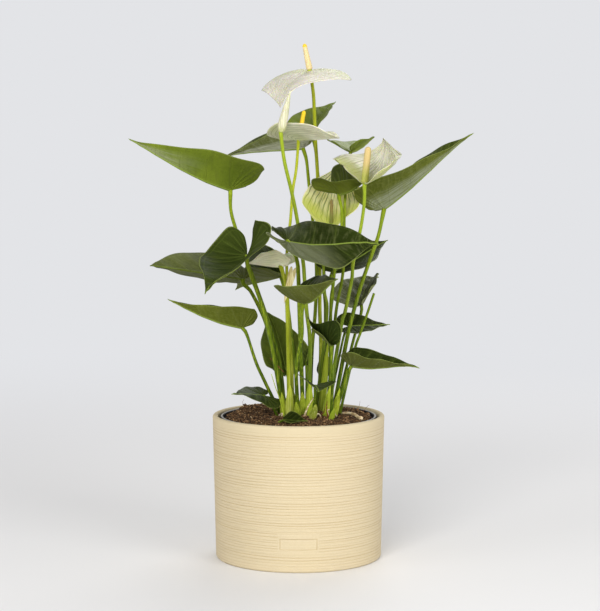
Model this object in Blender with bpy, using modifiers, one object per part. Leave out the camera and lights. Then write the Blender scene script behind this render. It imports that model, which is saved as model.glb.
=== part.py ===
"""Potted anthurium: a plant in soil in a nursery pot, inside a ridged cover pot. Metres, Z up, front to -Y."""
import bmesh
import bpy
import numpy as np
from mathutils import Matrix, Vector

MM = 0.001
GAP = 0.3  # clearance between neighbouring pieces, mm

# Cover pot, mm
POT_HEIGHT = 125.0
POT_TOP_RADIUS = 75.0
POT_FOOT_RADIUS = 72.4
POT_WALL = 4.6
POT_FLOOR = 6.0
POT_SIDES = 48
RIDGE_DEPTH = 0.5
RIDGE_HEIGHTS = (112.0, 97.0, 82.0, 66.0, 51.0, 37.0, 11.0)
LABEL_HEIGHT = 24.5
LABEL_SIZE = (31.0, 9.0, 0.5)  # width, height, depth

# Nursery pot, mm
NURSERY_RADIUS = 68.6
NURSERY_HEIGHT = 117.6
NURSERY_FOOT = 60.0
NURSERY_WALL = 1.4
NURSERY_SIDES = 36
DRAIN_RADIUS = 4.0

# Soil, mm
SOIL_LEVEL = 122.6
SOIL_BOTTOM = POT_FLOOR + GAP + NURSERY_WALL + GAP
STEM_DEPTH = 14.0

BLADE_THICKNESS = 0.9
STEM_SIDES = 6

# Half outlines from the tip round to the stalk: along the midrib, out from it (shares of length and width)
LEAF_OUTLINE = ((1.0, 0.0), (0.92, 0.05), (0.78, 0.2), (0.58, 0.5), (0.36, 0.8), (0.13, 0.97),
                (-0.08, 0.96), (-0.22, 0.74), (-0.26, 0.44), (-0.17, 0.15), (0.0, 0.0))
SPATHE_OUTLINE = ((1.0, 0.0), (0.93, 0.07), (0.78, 0.3), (0.56, 0.66), (0.32, 0.92), (0.08, 1.0),
                  (-0.12, 0.86), (-0.2, 0.58), (-0.17, 0.28), (-0.08, 0.08), (0.0, 0.0))

# size: length, half width, lobe length share; turn: heading, pitch, roll in degrees;
# bend: droop, tip, lobes, twist; fold: left, its curl, right, its curl; radius: stem top and foot;
# stem: from the blade's joint down to the soil, mm
LEAVES = {
    "leaf_01": dict(size=(113, 42, 0.7), turn=(219, 14, 11), bend=(-26, 14, 24, 6),
                    fold=(43, -38, 52, -2), radius=(1.5, 1.8),
                    stem=((-59, 2, 320), (-59, 6, 304), (-56, 11, 290), (-48, 12, 266), (-39, 12, 241),
                          (-27, 11, 206), (-17, 10, 171), (-12, 11, 123))),
    "leaf_02": dict(size=(74, 27, 0.5), turn=(192, -4, 7), bend=(-2, 12, 9, -10),
                    fold=(46, 16, 54, 0), radius=(1.4, 1.7),
                    stem=((4, 50, 356), (7, 49, 346), (9, 48, 327), (13, 48, 288), (16, 48, 249),
                          (15, 43, 212), (12, 36, 177), (10, 28, 123))),
    "leaf_03": dict(size=(58, 22, 1.0), turn=(61, 32, 0), bend=(6, 3, 2, 0),
                    fold=(26, 11, 30, 9), radius=(1.1, 1.4),
                    stem=((10, 82, 372), (15, 80, 355), (20, 76, 309), (23, 69, 252), (23, 64, 227),
                          (24, 58, 205), (22, 42, 123))),
    "leaf_04": dict(size=(60, 24, 1.3), turn=(69, 2, 3), bend=(-23, 5, 19, -9),
                    fold=(27, -8, 37, -2), radius=(1.2, 1.5),
                    stem=((46, 33, 353), (42, 29, 336), (41, 22, 315), (40, 15, 294), (40, 9, 277),
                          (39, 2, 253), (37, 0, 238), (32, 0, 209), (25, 8, 123))),
    "leaf_05": dict(size=(106, 43, 0.6), turn=(-24, 34, -3), bend=(-22, 24, 39, 30),
                    fold=(35, -17, 34, -10), radius=(1.6, 1.9),
                    stem=((75, 20, 303), (71, 17, 284), (68, 16, 274), (61, 12, 255), (54, 9, 235),
                          (48, 6, 214), (42, 4, 189), (30, 4, 123))),
    "leaf_06": dict(size=(49, 29, 0.85), turn=(-40, 6, 25), bend=(-61, 64, -42, 38),
                    fold=(25, 64, 74, -32), radius=(1.3, 1.6),
                    stem=((35, 16, 316), (38, 9, 299), (36, 0, 277), (32, -6, 258), (30, -5, 238),
                          (28, 0, 216), (28, 16, 123))),
    "leaf_07": dict(size=(88, 40, 1.5), turn=(-110, -29, 15), bend=(-50, 55, 42, -27),
                    fold=(40, -22, 7, 22), radius=(1.5, 1.8),
                    stem=((-44, -24, 265), (-44, -23, 258), (-41, -22, 248), (-33, -19, 226),
                          (-24, -14, 191), (-13, -4, 123))),
    "leaf_08": dict(size=(112, 42, 0.7), turn=(217, 10, 85), bend=(-2, 42, 24, -3),
                    fold=(57, 21, 79, -1), radius=(1.6, 1.8),
                    stem=((-49, 10, 242), (-48, 10, 237), (-42, 9, 232), (-30, 7, 208), (-24, 6, 186),
                          (-18, 4, 163), (-10, 1, 123))),
    "leaf_09": dict(size=(82, 34, 0.7), turn=(122, -13, -48), bend=(-12, 20, 7, 2),
                    fold=(57, 16, 60, 18), radius=(1.3, 1.6),
                    stem=((-16, 46, 242), (-14, 44, 236), (-9, 37, 213), (-6, 29, 187), (-3, 24, 165),
                          (-1, 16, 123))),
    "leaf_10": dict(size=(87, 48, 0.8), turn=(15, -15, -30), bend=(-52, 50, 34, 36),
                    fold=(68, -58, -45, 5), radius=(1.7, 1.9),
                    stem=((-10, -52, 279), (-5, -50, 272), (-1, -47, 261), (0, -41, 246),
                          (1, -27, 210), (4, -2, 123))),
    "leaf_11": dict(size=(82, 32, 0.7), turn=(49, 15, 15), bend=(-11, 8, 22, 12),
                    fold=(42, 4, 22, 3), radius=(1.3, 1.6),
                    stem=((30, 28, 247), (28, 27, 241), (30, 26, 237), (30, 25, 226), (28, 24, 207),
                          (20, 22, 123))),
    "leaf_12": dict(size=(79, 30, 1.1), turn=(-68, 4, -1), bend=(-53, 46, 27, 5),
                    fold=(80, -52, 16, 32), radius=(1.4, 1.7),
                    stem=((4, -58, 227), (3, -53, 219), (3, -44, 199), (0, -37, 183), (-2, -32, 165),
                          (0, -13, 123))),
    "leaf_13": dict(size=(62, 29, 0.7), turn=(81, 33, -35), bend=(26, 9, 40, 14),
                    fold=(50, 3, 29, -8), radius=(1.2, 1.5),
                    stem=((56, 42, 217), (56, 42, 210), (50, 37, 190), (43, 29, 164), (33, 18, 123))),
    "leaf_14": dict(size=(38, 15, 1.0), turn=(16, 1, 23), bend=(3, -5, -2, -3),
                    fold=(16, 20, 0, 6), radius=(1.0, 1.3),
                    stem=((45, 20, 200), (41, 17, 195), (37, 11, 180), (25, 1, 123))),
    "leaf_15": dict(size=(47, 23, 0.9), turn=(104, 5, -35), bend=(-63, -51, -41, -14),
                    fold=(78, 0, 73, -61), radius=(1.2, 1.5),
                    stem=((28, -38, 189), (28, -35, 173), (29, -30, 153), (28, -24, 123))),
    "leaf_16": dict(size=(60, 22, 0.7), turn=(-13, -12, -8), bend=(-52, 58, 17, 15),
                    fold=(41, 24, 33, -3), radius=(1.3, 1.6),
                    stem=((46, -16, 169), (42, -15, 162), (39, -13, 150), (31, -8, 123))),
    "leaf_17": dict(size=(66, 32, 0.6), turn=(115, 60, 18), bend=(-4, 42, 42, -29),
                    fold=(18, -5, 77, 1), radius=(1.2, 1.5),
                    stem=((-11, 34, 158), (-9, 33, 152), (-8, 32, 142), (-6, 30, 123))),
    "leaf_18": dict(size=(72, 26, 0.7), turn=(198, 10, 6), bend=(-30, 12, 29, -9),
                    fold=(45, -8, 39, 4), radius=(1.3, 1.6),
                    stem=((-49, -4, 201), (-45, -3, 195), (-37, 0, 170), (-29, 2, 152), (-16, 4, 123))),
    "leaf_19": dict(size=(43, 17, 1.1), turn=(231, 10, -10), bend=(1, 8, 17, 12),
                    fold=(-11, -35, 9, 8), radius=(1.0, 1.2),
                    stem=((-30, -14, 143), (-24, -11, 135), (-18, -6, 123))),
    "leaf_20": dict(size=(24, 11, 0.7), turn=(33, -8, 55), bend=(-6, 1, 33, -15),
                    fold=(71, 7, 47, 5), radius=(0.8, 1.0),
                    stem=((-12, -50, 127), (-16, -47, 125), (-18, -44, 123))),
    "leaf_21": dict(size=(15, 19, 0.9), turn=(-75, -5, -12), bend=(20, 0, 0, 0),
                    fold=(22, 0, 22, 0), radius=(1.0, 1.2),
                    stem=((14, -40, 155), (14, -36, 146), (12, -24, 123))),
    "leaf_22": dict(size=(17, 7, 0.9), turn=(60, 62, 0), bend=(0, 0, 10, 0),
                    fold=(30, 0, 30, 0), radius=(1.0, 1.3),
                    stem=((7, 6, 170), (7, 7, 156), (7, 8, 123))),
    "leaf_23": dict(size=(22, 9, 0.9), turn=(90, 62, 0), bend=(0, 0, 10, 0),
                    fold=(30, 0, 30, 0), radius=(1.0, 1.3),
                    stem=((24, 54, 155), (23, 54, 143), (21, 54, 123))),
}

# spadix: where its tip stands, mm, and its radius at foot and tip
BLOOMS = {
    "bloom_1": dict(size=(71, 44, 0.8), turn=(-119, -14, 12), bend=(7, 50, -40, 12),
                    fold=(0, -46, 21, -44), radius=(1.5, 1.9), spadix=(5, 35, 448), thick=(2.8, 1.9),
                    stem=((10, 34, 424), (13, 37, 405), (14, 40, 386), (15, 46, 363), (17, 53, 332),
                          (18, 55, 292), (19, 53, 249), (19, 47, 212), (20, 40, 177), (18, 30, 123))),
    "bloom_2": dict(size=(52, 32, 1.5), turn=(-48, 2, -1), bend=(0, -2, -19, -18),
                    fold=(21, -9, 30, -14), radius=(1.2, 1.6), spadix=(5, -6, 389), thick=(2.0, 1.7),
                    stem=((0, -4, 363), (-2, 0, 338), (-5, 4, 320), (-7, 8, 294), (-10, 9, 268),
                          (-10, 9, 238), (-8, 7, 198), (-6, 5, 167), (-5, 4, 123))),
    "bloom_3": dict(size=(60, 39, 0.7), turn=(50, 15, -18), bend=(-50, -31, 41, -3),
                    fold=(66, -24, -6, 40), radius=(1.4, 1.8), spadix=(59, -36, 358), thick=(3.0, 2.7),
                    stem=((56, -30, 326), (56, -27, 310), (53, -20, 287), (47, -13, 258),
                          (46, -12, 244), (40, -9, 214), (37, -8, 203), (24, -6, 123))),
    "bloom_4": dict(size=(65, 38, 0.7), turn=(81, 46, 7), bend=(-24, 13, 28, 14),
                    fold=(34, 23, 46, 8), radius=(1.2, 1.5), spadix=(29, 24, 312), thick=(1.6, 1.3),
                    stem=((29, 36, 289), (26, 27, 271), (22, 17, 255), (23, 19, 230), (25, 20, 208),
                          (15, 20, 123))),
    "bloom_5": dict(size=(31, 19, 1.5), turn=(162, 1, 6), bend=(-12, 6, -8, 5),
                    fold=(53, -16, 44, -1), radius=(1.6, 2.0), spadix=(-19, -10, 265), thick=(1.5, 1.1),
                    stem=((-15, -8, 254), (-11, -8, 239), (-10, -8, 223), (-9, -7, 186), (-8, -7, 123))),
}

BUD = dict(tip=(-7, -37, 404), radius=(1.5, 1.9),
           stem=((-15, -36, 370), (-12, -32, 346), (-6, -21, 320), (-1, -6, 294), (4, -3, 258),
                 (5, -3, 246), (7, -3, 216), (10, -5, 186), (9, -6, 123)))
CUT_STEM = dict(radius=(1.1, 1.3),
                stem=((66, 8, 230), (59, 7, 209), (54, 6, 195), (50, 6, 184), (44, 5, 159), (36, 4, 123)))
ROOT = dict(radius=(1.1, 1.7), path=((38, 6), (43, 4), (48, -2), (51, -12), (54, -27)))
BRACT = dict(size=(30, 4, 0.6), at=(-5, -15, 251), turn=(180, -75, 90), bend=(10, -20, 0, 0),
             fold=(5, 55, 5, 55))


def clear_scene():
    for item in list(bpy.data.objects):
        bpy.data.objects.remove(item)


def new_collection(name):
    made = bpy.data.collections.new(name)
    bpy.context.scene.collection.children.link(made)
    return made


def finish_of(name, colour, roughness, metallic=0.0):
    made = bpy.data.materials.get(name) or bpy.data.materials.new(name)
    made.use_nodes = True
    shader = made.node_tree.nodes["Principled BSDF"]
    shader.inputs["Base Color"].default_value = (*colour, 1.0)
    shader.inputs["Roughness"].default_value = roughness
    shader.inputs["Metallic"].default_value = metallic
    return made


def add_object(name, mesh, collection, material=None):
    made = bpy.data.objects.new(name, mesh)
    collection.objects.link(made)
    if material:
        mesh.materials.clear()
        mesh.materials.append(material)
    return made


def applied(source):
    """The object's mesh with its modifiers worked in, in world coordinates."""
    bpy.context.view_layer.update()
    seen = source.evaluated_get(bpy.context.evaluated_depsgraph_get())
    mesh = bpy.data.meshes.new_from_object(seen)
    mesh.transform(source.matrix_world)
    return mesh


def welded(mesh, distance=1e-6):
    work = bmesh.new()
    work.from_mesh(mesh)
    bmesh.ops.remove_doubles(work, verts=work.verts, dist=distance)
    bmesh.ops.recalc_face_normals(work, faces=work.faces)
    if work.calc_volume(signed=True) < 0:
        bmesh.ops.reverse_faces(work, faces=work.faces)
    work.to_mesh(mesh)
    work.free()
    return mesh


def rounded(points, steps):
    """A Catmull-Rom curve through the points, with a number of steps to each span."""
    p = np.asarray(points, float)
    t = np.linspace(0, len(p) - 1, steps * (len(p) - 1) + 1)
    i = np.minimum(t.astype(int), len(p) - 2)
    f = (t - i)[:, None]
    pad = np.vstack([2 * p[0] - p[1], p, 2 * p[-1] - p[-2]])
    a, b, c, d = pad[i], pad[i + 1], pad[i + 2], pad[i + 3]
    return 0.5 * (2 * b + (c - a) * f + (2 * a - 5 * b + 4 * c - d) * f ** 2 + (3 * b - a - 3 * c + d) * f ** 3)


def tube(name, points, radii, sides=STEM_SIDES):
    """A closed tube along points in mm, with a radius at each."""
    curve = bpy.data.curves.new(name, "CURVE")
    curve.dimensions = "3D"
    curve.bevel_depth = MM
    curve.bevel_resolution = (sides - 4) // 2
    curve.use_fill_caps = True
    line = curve.splines.new("POLY")
    line.points.add(len(points) - 1)
    line.points.foreach_set("co", np.column_stack([np.asarray(points) * MM, np.ones(len(points))]).ravel())
    line.points.foreach_set("radius", np.asarray(radii, float))
    carrier = bpy.data.objects.new(name + "_line", curve)
    bpy.context.scene.collection.objects.link(carrier)
    mesh = welded(applied(carrier))
    bpy.data.objects.remove(carrier)
    return mesh


def soil_height(x, y):
    """Height of the soil in mm: a low mound, higher at the back left, with gentle lumps."""
    mound = 0.8 - 0.00035 * (x * x + y * y)
    bank = 3.2 * np.exp(-((x + 42) ** 2 + (y - 44) ** 2) / 420.0)
    shoulder = 1.4 * np.exp(-((x - 38) ** 2 + (y - 42) ** 2) / 420.0)
    lumps = 0.5 * np.sin(x * 0.31 + 1.0) * np.sin(y * 0.27) + 0.3 * np.sin(x * 0.17 - y * 0.23)
    return SOIL_LEVEL + mound + bank + shoulder + lumps


def stem_line(spec):
    """The stem's centre line from the blade to below the soil, with its radii."""
    points = [np.array(p, float) for p in spec["stem"]]
    foot = points[-1]
    before = points[-2]
    foot[2] = soil_height(foot[0], foot[1])
    lean = (foot - before) / max(before[2] - foot[2], 1.0)
    buried = foot + np.array([lean[0] * 0.35, lean[1] * 0.35, -1.0]) * STEM_DEPTH
    line = rounded(points + [buried], 4)
    along = np.r_[0, np.cumsum(np.linalg.norm(np.diff(line, axis=0), axis=1))]
    count = max(5, int(round(along[-1] / 20.0)))
    keep = np.linspace(0, along[-1], count + 1)
    line = np.stack([np.interp(keep, along, line[:, k]) for k in range(3)], 1)
    top, low = spec["radius"]
    radii = top + (low - top) * (keep / along[-1])
    return line, radii


def stem_hole(line, radii):
    """The hole a stem stands in: the same line, wider by the gap, from above the soil to below the foot."""
    first = int(np.argmax(line[:, 2] < SOIL_LEVEL + 5))
    first = max(first - 1, 0)
    part = line[first:].copy()
    wide = (radii[first:] + GAP) / np.cos(np.pi / 8)
    end = part[-1] - part[-2]
    part[-1] = part[-1] + end / np.linalg.norm(end) * 0.4
    return part, wide


def blade_grid(spec, outline, rows, strips):
    """Points of a blade in mm as rows from the tip round to the stalk, each from left margin to right.

    A point lies a share u along the midrib and q out from it; the midrib bends by droop and tip, the
    halves fold up about it and curl, and the whole twists towards the tip.
    """
    length, width, lobes = spec["size"]
    heading, pitch, roll = np.radians(spec["turn"])
    droop, tip, lobe, twist = np.radians(spec["bend"])
    edge = rounded(outline, 4)[:-4]
    at = np.linspace(0, len(edge) - 1, rows)
    edge = np.stack([np.interp(at, np.arange(len(edge)), edge[:, k]) for k in range(2)], 1)
    edge[:, 0] = np.where(edge[:, 0] < 0, edge[:, 0] * lobes, edge[:, 0])
    start = np.clip(edge[:, 0] - 0.28 * edge[:, 1], 0, 1)
    t = np.linspace(0, 1, strips + 1)
    u = start[:, None] * (1 - t) + edge[:, 0][:, None] * t
    q = edge[:, 1][:, None] * t
    run = np.linspace(-0.6, 1.0, 65)
    slope = np.where(run > 0, droop * run + tip * run ** 3, -lobe * run / 0.26)
    step = run[1] - run[0]
    across = np.r_[0, np.cumsum((np.cos(slope[1:]) + np.cos(slope[:-1])) / 2 * step)]
    down = np.r_[0, np.cumsum((np.sin(slope[1:]) + np.sin(slope[:-1])) / 2 * step)]
    along = (np.interp(u, run, across) - across[24]) * length
    height = -(np.interp(u, run, down) - down[24]) * length
    tilt = np.interp(u, run, slope)
    halves = []
    for side, first, curl in ((1, *spec["fold"][:2]), (-1, *spec["fold"][2:])):
        first = np.radians(first)
        curl = np.radians(curl if abs(curl) > 0.5 else 0.5)
        out = side * width * (np.sin(first + curl * q) - np.sin(first)) / curl
        rise = width * (np.cos(first) - np.cos(first + curl * q)) / curl
        turn = twist * u
        out, rise = (out * np.cos(turn) - rise * np.sin(turn), out * np.sin(turn) + rise * np.cos(turn))
        halves.append(np.stack([along + rise * np.sin(tilt), out, height + rise * np.cos(tilt)], -1))
    grid = np.concatenate([halves[0][:, ::-1], halves[1][:, 1:]], 1)
    turned = Matrix.Rotation(heading, 3, "Z") @ Matrix.Rotation(-pitch, 3, "Y") @ Matrix.Rotation(roll, 3, "X")
    joint = spec["at"] if "at" in spec else spec["stem"][0]
    return grid @ np.array(turned).T + np.array(joint, float)


def blade_mesh(name, spec, outline, rows=12, strips=2):
    """The blade as one closed sheet of even thickness."""
    grid = blade_grid(spec, outline, rows, strips)
    high, wide = grid.shape[:2]
    work = bmesh.new()
    bmesh.ops.create_grid(work, x_segments=wide - 1, y_segments=high - 1, size=0.5)
    for vertex in work.verts:
        column = round((vertex.co.x + 0.5) * (wide - 1))
        row = round((vertex.co.y + 0.5) * (high - 1))
        vertex.co = Vector(grid[row, column] * MM)
    bmesh.ops.remove_doubles(work, verts=work.verts, dist=2e-5)
    bmesh.ops.triangulate(work, faces=work.faces)
    mesh = bpy.data.meshes.new(name)
    work.to_mesh(mesh)
    work.free()
    carrier = bpy.data.objects.new(name + "_sheet", mesh)
    bpy.context.scene.collection.objects.link(carrier)
    solid = carrier.modifiers.new("thickness", "SOLIDIFY")
    solid.thickness = BLADE_THICKNESS * MM
    solid.offset = 0.0
    sheet = applied(carrier)
    bpy.data.objects.remove(carrier)
    return welded(sheet, 1e-7)


def joined(name, meshes, collection, material):
    """One solid from several that overlap."""
    parts = bpy.data.collections.new(name + "_pieces")
    bpy.context.scene.collection.children.link(parts)
    for index, mesh in enumerate(meshes[1:]):
        add_object(f"{name}_piece_{index}", mesh, parts)
    base = add_object(name + "_base", meshes[0], bpy.context.scene.collection)
    union = base.modifiers.new("union", "BOOLEAN")
    union.operation = "UNION"
    union.operand_type = "COLLECTION"
    union.collection = parts
    union.solver = "EXACT"
    mesh = applied(base)
    bpy.data.objects.remove(base)
    for item in list(parts.objects):
        bpy.data.objects.remove(item)
    bpy.data.collections.remove(parts)
    return add_object(name, welded(mesh, 1e-7), collection, material)


def cut(target, cutters):
    """Takes each cutter in turn out of the target, and applies the result."""
    for cutter in cutters:
        step = target.modifiers.new("cut", "BOOLEAN")
        step.operation = "DIFFERENCE"
        step.object = cutter
        step.solver = "EXACT"
    mesh = applied(target)
    target.modifiers.clear()
    keep = target.data.materials[0]
    target.data = mesh
    mesh.materials.clear()
    mesh.materials.append(keep)


def cutter_object(name, mesh, collection):
    made = add_object(name, mesh, collection)
    made.hide_render = True
    made.display_type = "WIRE"
    return made


def turned_solid(name, profile, sides, collection, material):
    """A solid of revolution from a profile in mm that starts and ends on the axis."""
    mesh = bpy.data.meshes.new(name)
    points = [(x * MM, 0.0, z * MM) for x, z in profile]
    mesh.from_pydata(points, [(k, k + 1) for k in range(len(points) - 1)], [])
    made = add_object(name, mesh, collection, material)
    spin = made.modifiers.new("turn", "SCREW")
    spin.axis = "Z"
    spin.steps = sides
    spin.render_steps = sides
    spin.use_merge_vertices = True
    spin.merge_threshold = 1e-5
    mesh = welded(applied(made), 1e-7)
    made.modifiers.clear()
    made.data = mesh
    mesh.materials.clear()
    mesh.materials.append(material)
    return made


def pot_radius(height):
    return POT_FOOT_RADIUS + (POT_TOP_RADIUS - POT_FOOT_RADIUS) * height / POT_HEIGHT


def cover_pot(collection, cutters):
    """Straight-sided pot with a rounded rim, a few deep ridges and a blank label panel."""
    clay = finish_of("matte_cream", (0.62, 0.54, 0.41), 0.8)
    inner = POT_TOP_RADIUS - POT_WALL
    profile = [(0.0, POT_FLOOR), (inner - 4.5, POT_FLOOR), (inner - 2.5, POT_FLOOR + 2), (inner, POT_HEIGHT - 2)]
    profile += [(inner + 0.7, POT_HEIGHT - 0.6), (inner + 2.3, POT_HEIGHT), (POT_TOP_RADIUS - 0.8, POT_HEIGHT - 0.6)]
    profile += [(POT_TOP_RADIUS, POT_HEIGHT - 2.2), (POT_TOP_RADIUS, POT_HEIGHT - 5)]
    for height in RIDGE_HEIGHTS:
        profile += [(pot_radius(height) - RIDGE_DEPTH, height), (pot_radius(height - 4), height - 4)]
    profile += [(POT_FOOT_RADIUS, 1.5), (POT_FOOT_RADIUS - 1.5, 0.0), (0.0, 0.0)]
    pot = turned_solid("cover_pot", profile[::-1], POT_SIDES, collection, clay)
    wide, high, deep = LABEL_SIZE
    work = bmesh.new()
    near = pot_radius(LABEL_HEIGHT) - deep
    half = np.arcsin(wide / 2 / POT_FOOT_RADIUS)
    corners = [(near, -high / 2), (near + 6, -high / 2), (near + 6, high / 2), (near, high / 2)]
    face = work.faces.new([work.verts.new((x * MM, 0.0, (LABEL_HEIGHT + z) * MM)) for x, z in corners])
    bmesh.ops.rotate(work, verts=work.verts, cent=(0, 0, 0), matrix=Matrix.Rotation(-np.pi / 2 - half, 3, "Z"))
    bmesh.ops.spin(work, geom=[face, *face.verts, *face.edges], cent=(0, 0, 0), axis=(0, 0, 1),
                   angle=2 * half, steps=6)
    bmesh.ops.recalc_face_normals(work, faces=work.faces)
    mesh = bpy.data.meshes.new("label_cutter")
    work.to_mesh(mesh)
    work.free()
    cut(pot, [cutter_object("label_cutter", welded(mesh), cutters)])
    return pot


def nursery_pot(collection, cutters):
    """Thin black pot with a rolled lip, standing on the cover pot's floor, with drainage holes."""
    plastic = finish_of("black_plastic", (0.012, 0.012, 0.013), 0.3)
    low = POT_FLOOR + GAP
    top = low + NURSERY_HEIGHT
    wall = NURSERY_WALL
    lip = NURSERY_RADIUS
    profile = [(0.0, low), (NURSERY_FOOT - 1, low), (NURSERY_FOOT, low + 1), (lip - 3, top - 8)]
    profile += [(lip - 0.6, top - 7), (lip, top - 5), (lip, top - 1), (lip - 1, top), (lip - 3.4, top)]
    profile += [(lip - 3 - wall, top - 2), (NURSERY_FOOT - wall, low + wall), (0.0, low + wall)]
    pot = turned_solid("nursery_pot", profile, NURSERY_SIDES, collection, plastic)
    holes = []
    for index in range(6):
        angle = index * np.pi / 3
        work = bmesh.new()
        bmesh.ops.create_cone(work, cap_ends=True, segments=12, radius1=DRAIN_RADIUS * MM,
                              radius2=DRAIN_RADIUS * MM, depth=8 * MM)
        mesh = bpy.data.meshes.new(f"drain_cutter_{index}")
        work.to_mesh(mesh)
        work.free()
        mesh.transform(Matrix.Translation(Vector((40 * np.cos(angle), 40 * np.sin(angle), low)) * MM))
        holes.append(cutter_object(mesh.name, mesh, cutters))
    cut(pot, holes)
    return pot


def soil(collection, cutters, stems):
    """The root ball: a plug that fills the nursery pot, with its mounded top and the stems' holes."""
    earth = finish_of("potting_soil", (0.045, 0.028, 0.02), 0.95)
    low = SOIL_BOTTOM
    base = POT_FLOOR + GAP
    lean = (NURSERY_RADIUS - 3 - NURSERY_FOOT) / (NURSERY_HEIGHT - 9)

    def inside(height):
        return NURSERY_FOOT - NURSERY_WALL - 0.6 + lean * (height - base - NURSERY_WALL)

    rings, sides = 7, 32
    work = bmesh.new()
    bmesh.ops.create_grid(work, x_segments=sides, y_segments=rings, size=0.5)
    for vertex in work.verts:
        angle = round((vertex.co.x + 0.5) * sides) * 2 * np.pi / sides
        ring = round((vertex.co.y + 0.5) * rings)
        outer = inside(SOIL_LEVEL + 1) - 0.3
        if ring == 0:
            spot = (0.0, 0.0, soil_height(0.0, 0.0))
        elif ring < rings:
            reach = outer * ring / (rings - 1)
            x, y = reach * np.cos(angle), reach * np.sin(angle)
            spot = (x, y, soil_height(x, y))
        else:
            reach = inside(low)
            spot = (reach * np.cos(angle), reach * np.sin(angle), low)
        vertex.co = Vector(spot) * MM
    bmesh.ops.remove_doubles(work, verts=work.verts, dist=1e-6)
    bmesh.ops.contextual_create(work, geom=[e for e in work.edges if e.is_boundary])
    bmesh.ops.recalc_face_normals(work, faces=work.faces)
    mesh = bpy.data.meshes.new("soil")
    work.to_mesh(mesh)
    work.free()
    plug = add_object("soil", mesh, collection, earth)
    holes = []
    for name, (line, radii) in stems.items():
        part, wide = stem_hole(line, radii)
        holes.append(cutter_object("hole_" + name, tube("hole_" + name, part, wide, 8), cutters))
    cut(plug, holes)
    return plug


def leaf(name, spec, line, radii, collection, material):
    """A petiole, a little thicker at its joint, fused to its blade."""
    rows = 13 if spec["size"][0] > 60 else 11
    if spec["size"][0] < 30:
        rows = 9
    blade = blade_mesh(name, spec, LEAF_OUTLINE, rows)
    swell = 1 + 0.25 * np.exp(-np.linalg.norm(line - line[0], axis=1) / 12)
    stalk = line.copy()
    start = stalk[0] - stalk[1]
    stalk[0] = stalk[0] + start / np.linalg.norm(start) * 0.5
    return joined(name, [tube(name, stalk, radii * swell), blade], collection, material)


def spadix_mesh(name, foot, tip, thick):
    """A tapering spike with a rounded end."""
    foot = np.asarray(foot, float)
    tip = np.asarray(tip, float)
    shares = np.array([0.0, 0.04, 0.35, 0.7, 0.92, 0.98, 1.0])
    body = thick[0] + (thick[1] - thick[0]) * shares
    body *= np.array([0.75, 1.0, 1.0, 1.0, 0.9, 0.6, 0.25])
    return tube(name, foot + (tip - foot) * shares[:, None], body, 10)


def bloom(name, spec, line, radii, collection, cutters, tones):
    """Stem, spathe with a notch where the stem comes through, and spadix standing on the stem's end."""
    joint = line[0]
    tip = np.array(spec["spadix"], float)
    up = (tip - joint) / np.linalg.norm(tip - joint)
    stalk = np.vstack([joint + up * 1.6, line])
    thick = np.r_[radii[0], radii]
    add_object(name + "_stem", tube(name + "_stem", stalk, thick), collection, tones[0])
    bract = add_object(name + "_spathe", blade_mesh(name, spec, SPATHE_OUTLINE, 13, 3), collection, tones[1])
    down = (line[1] - line[0]) / np.linalg.norm(line[1] - line[0])
    wide = (max(radii[0], spec["thick"][0]) + GAP) / np.cos(np.pi / 10)
    reach = [joint + up * 9, joint, joint + down * 9]
    hole = tube(name + "_notch", reach, [wide] * 3, 10)
    cut(bract, [cutter_object(name + "_notch", hole, cutters)])
    spike = spadix_mesh(name + "_spadix", joint + up * (1.6 + GAP), tip, spec["thick"])
    add_object(name + "_spadix", spike, collection, tones[2])


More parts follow.
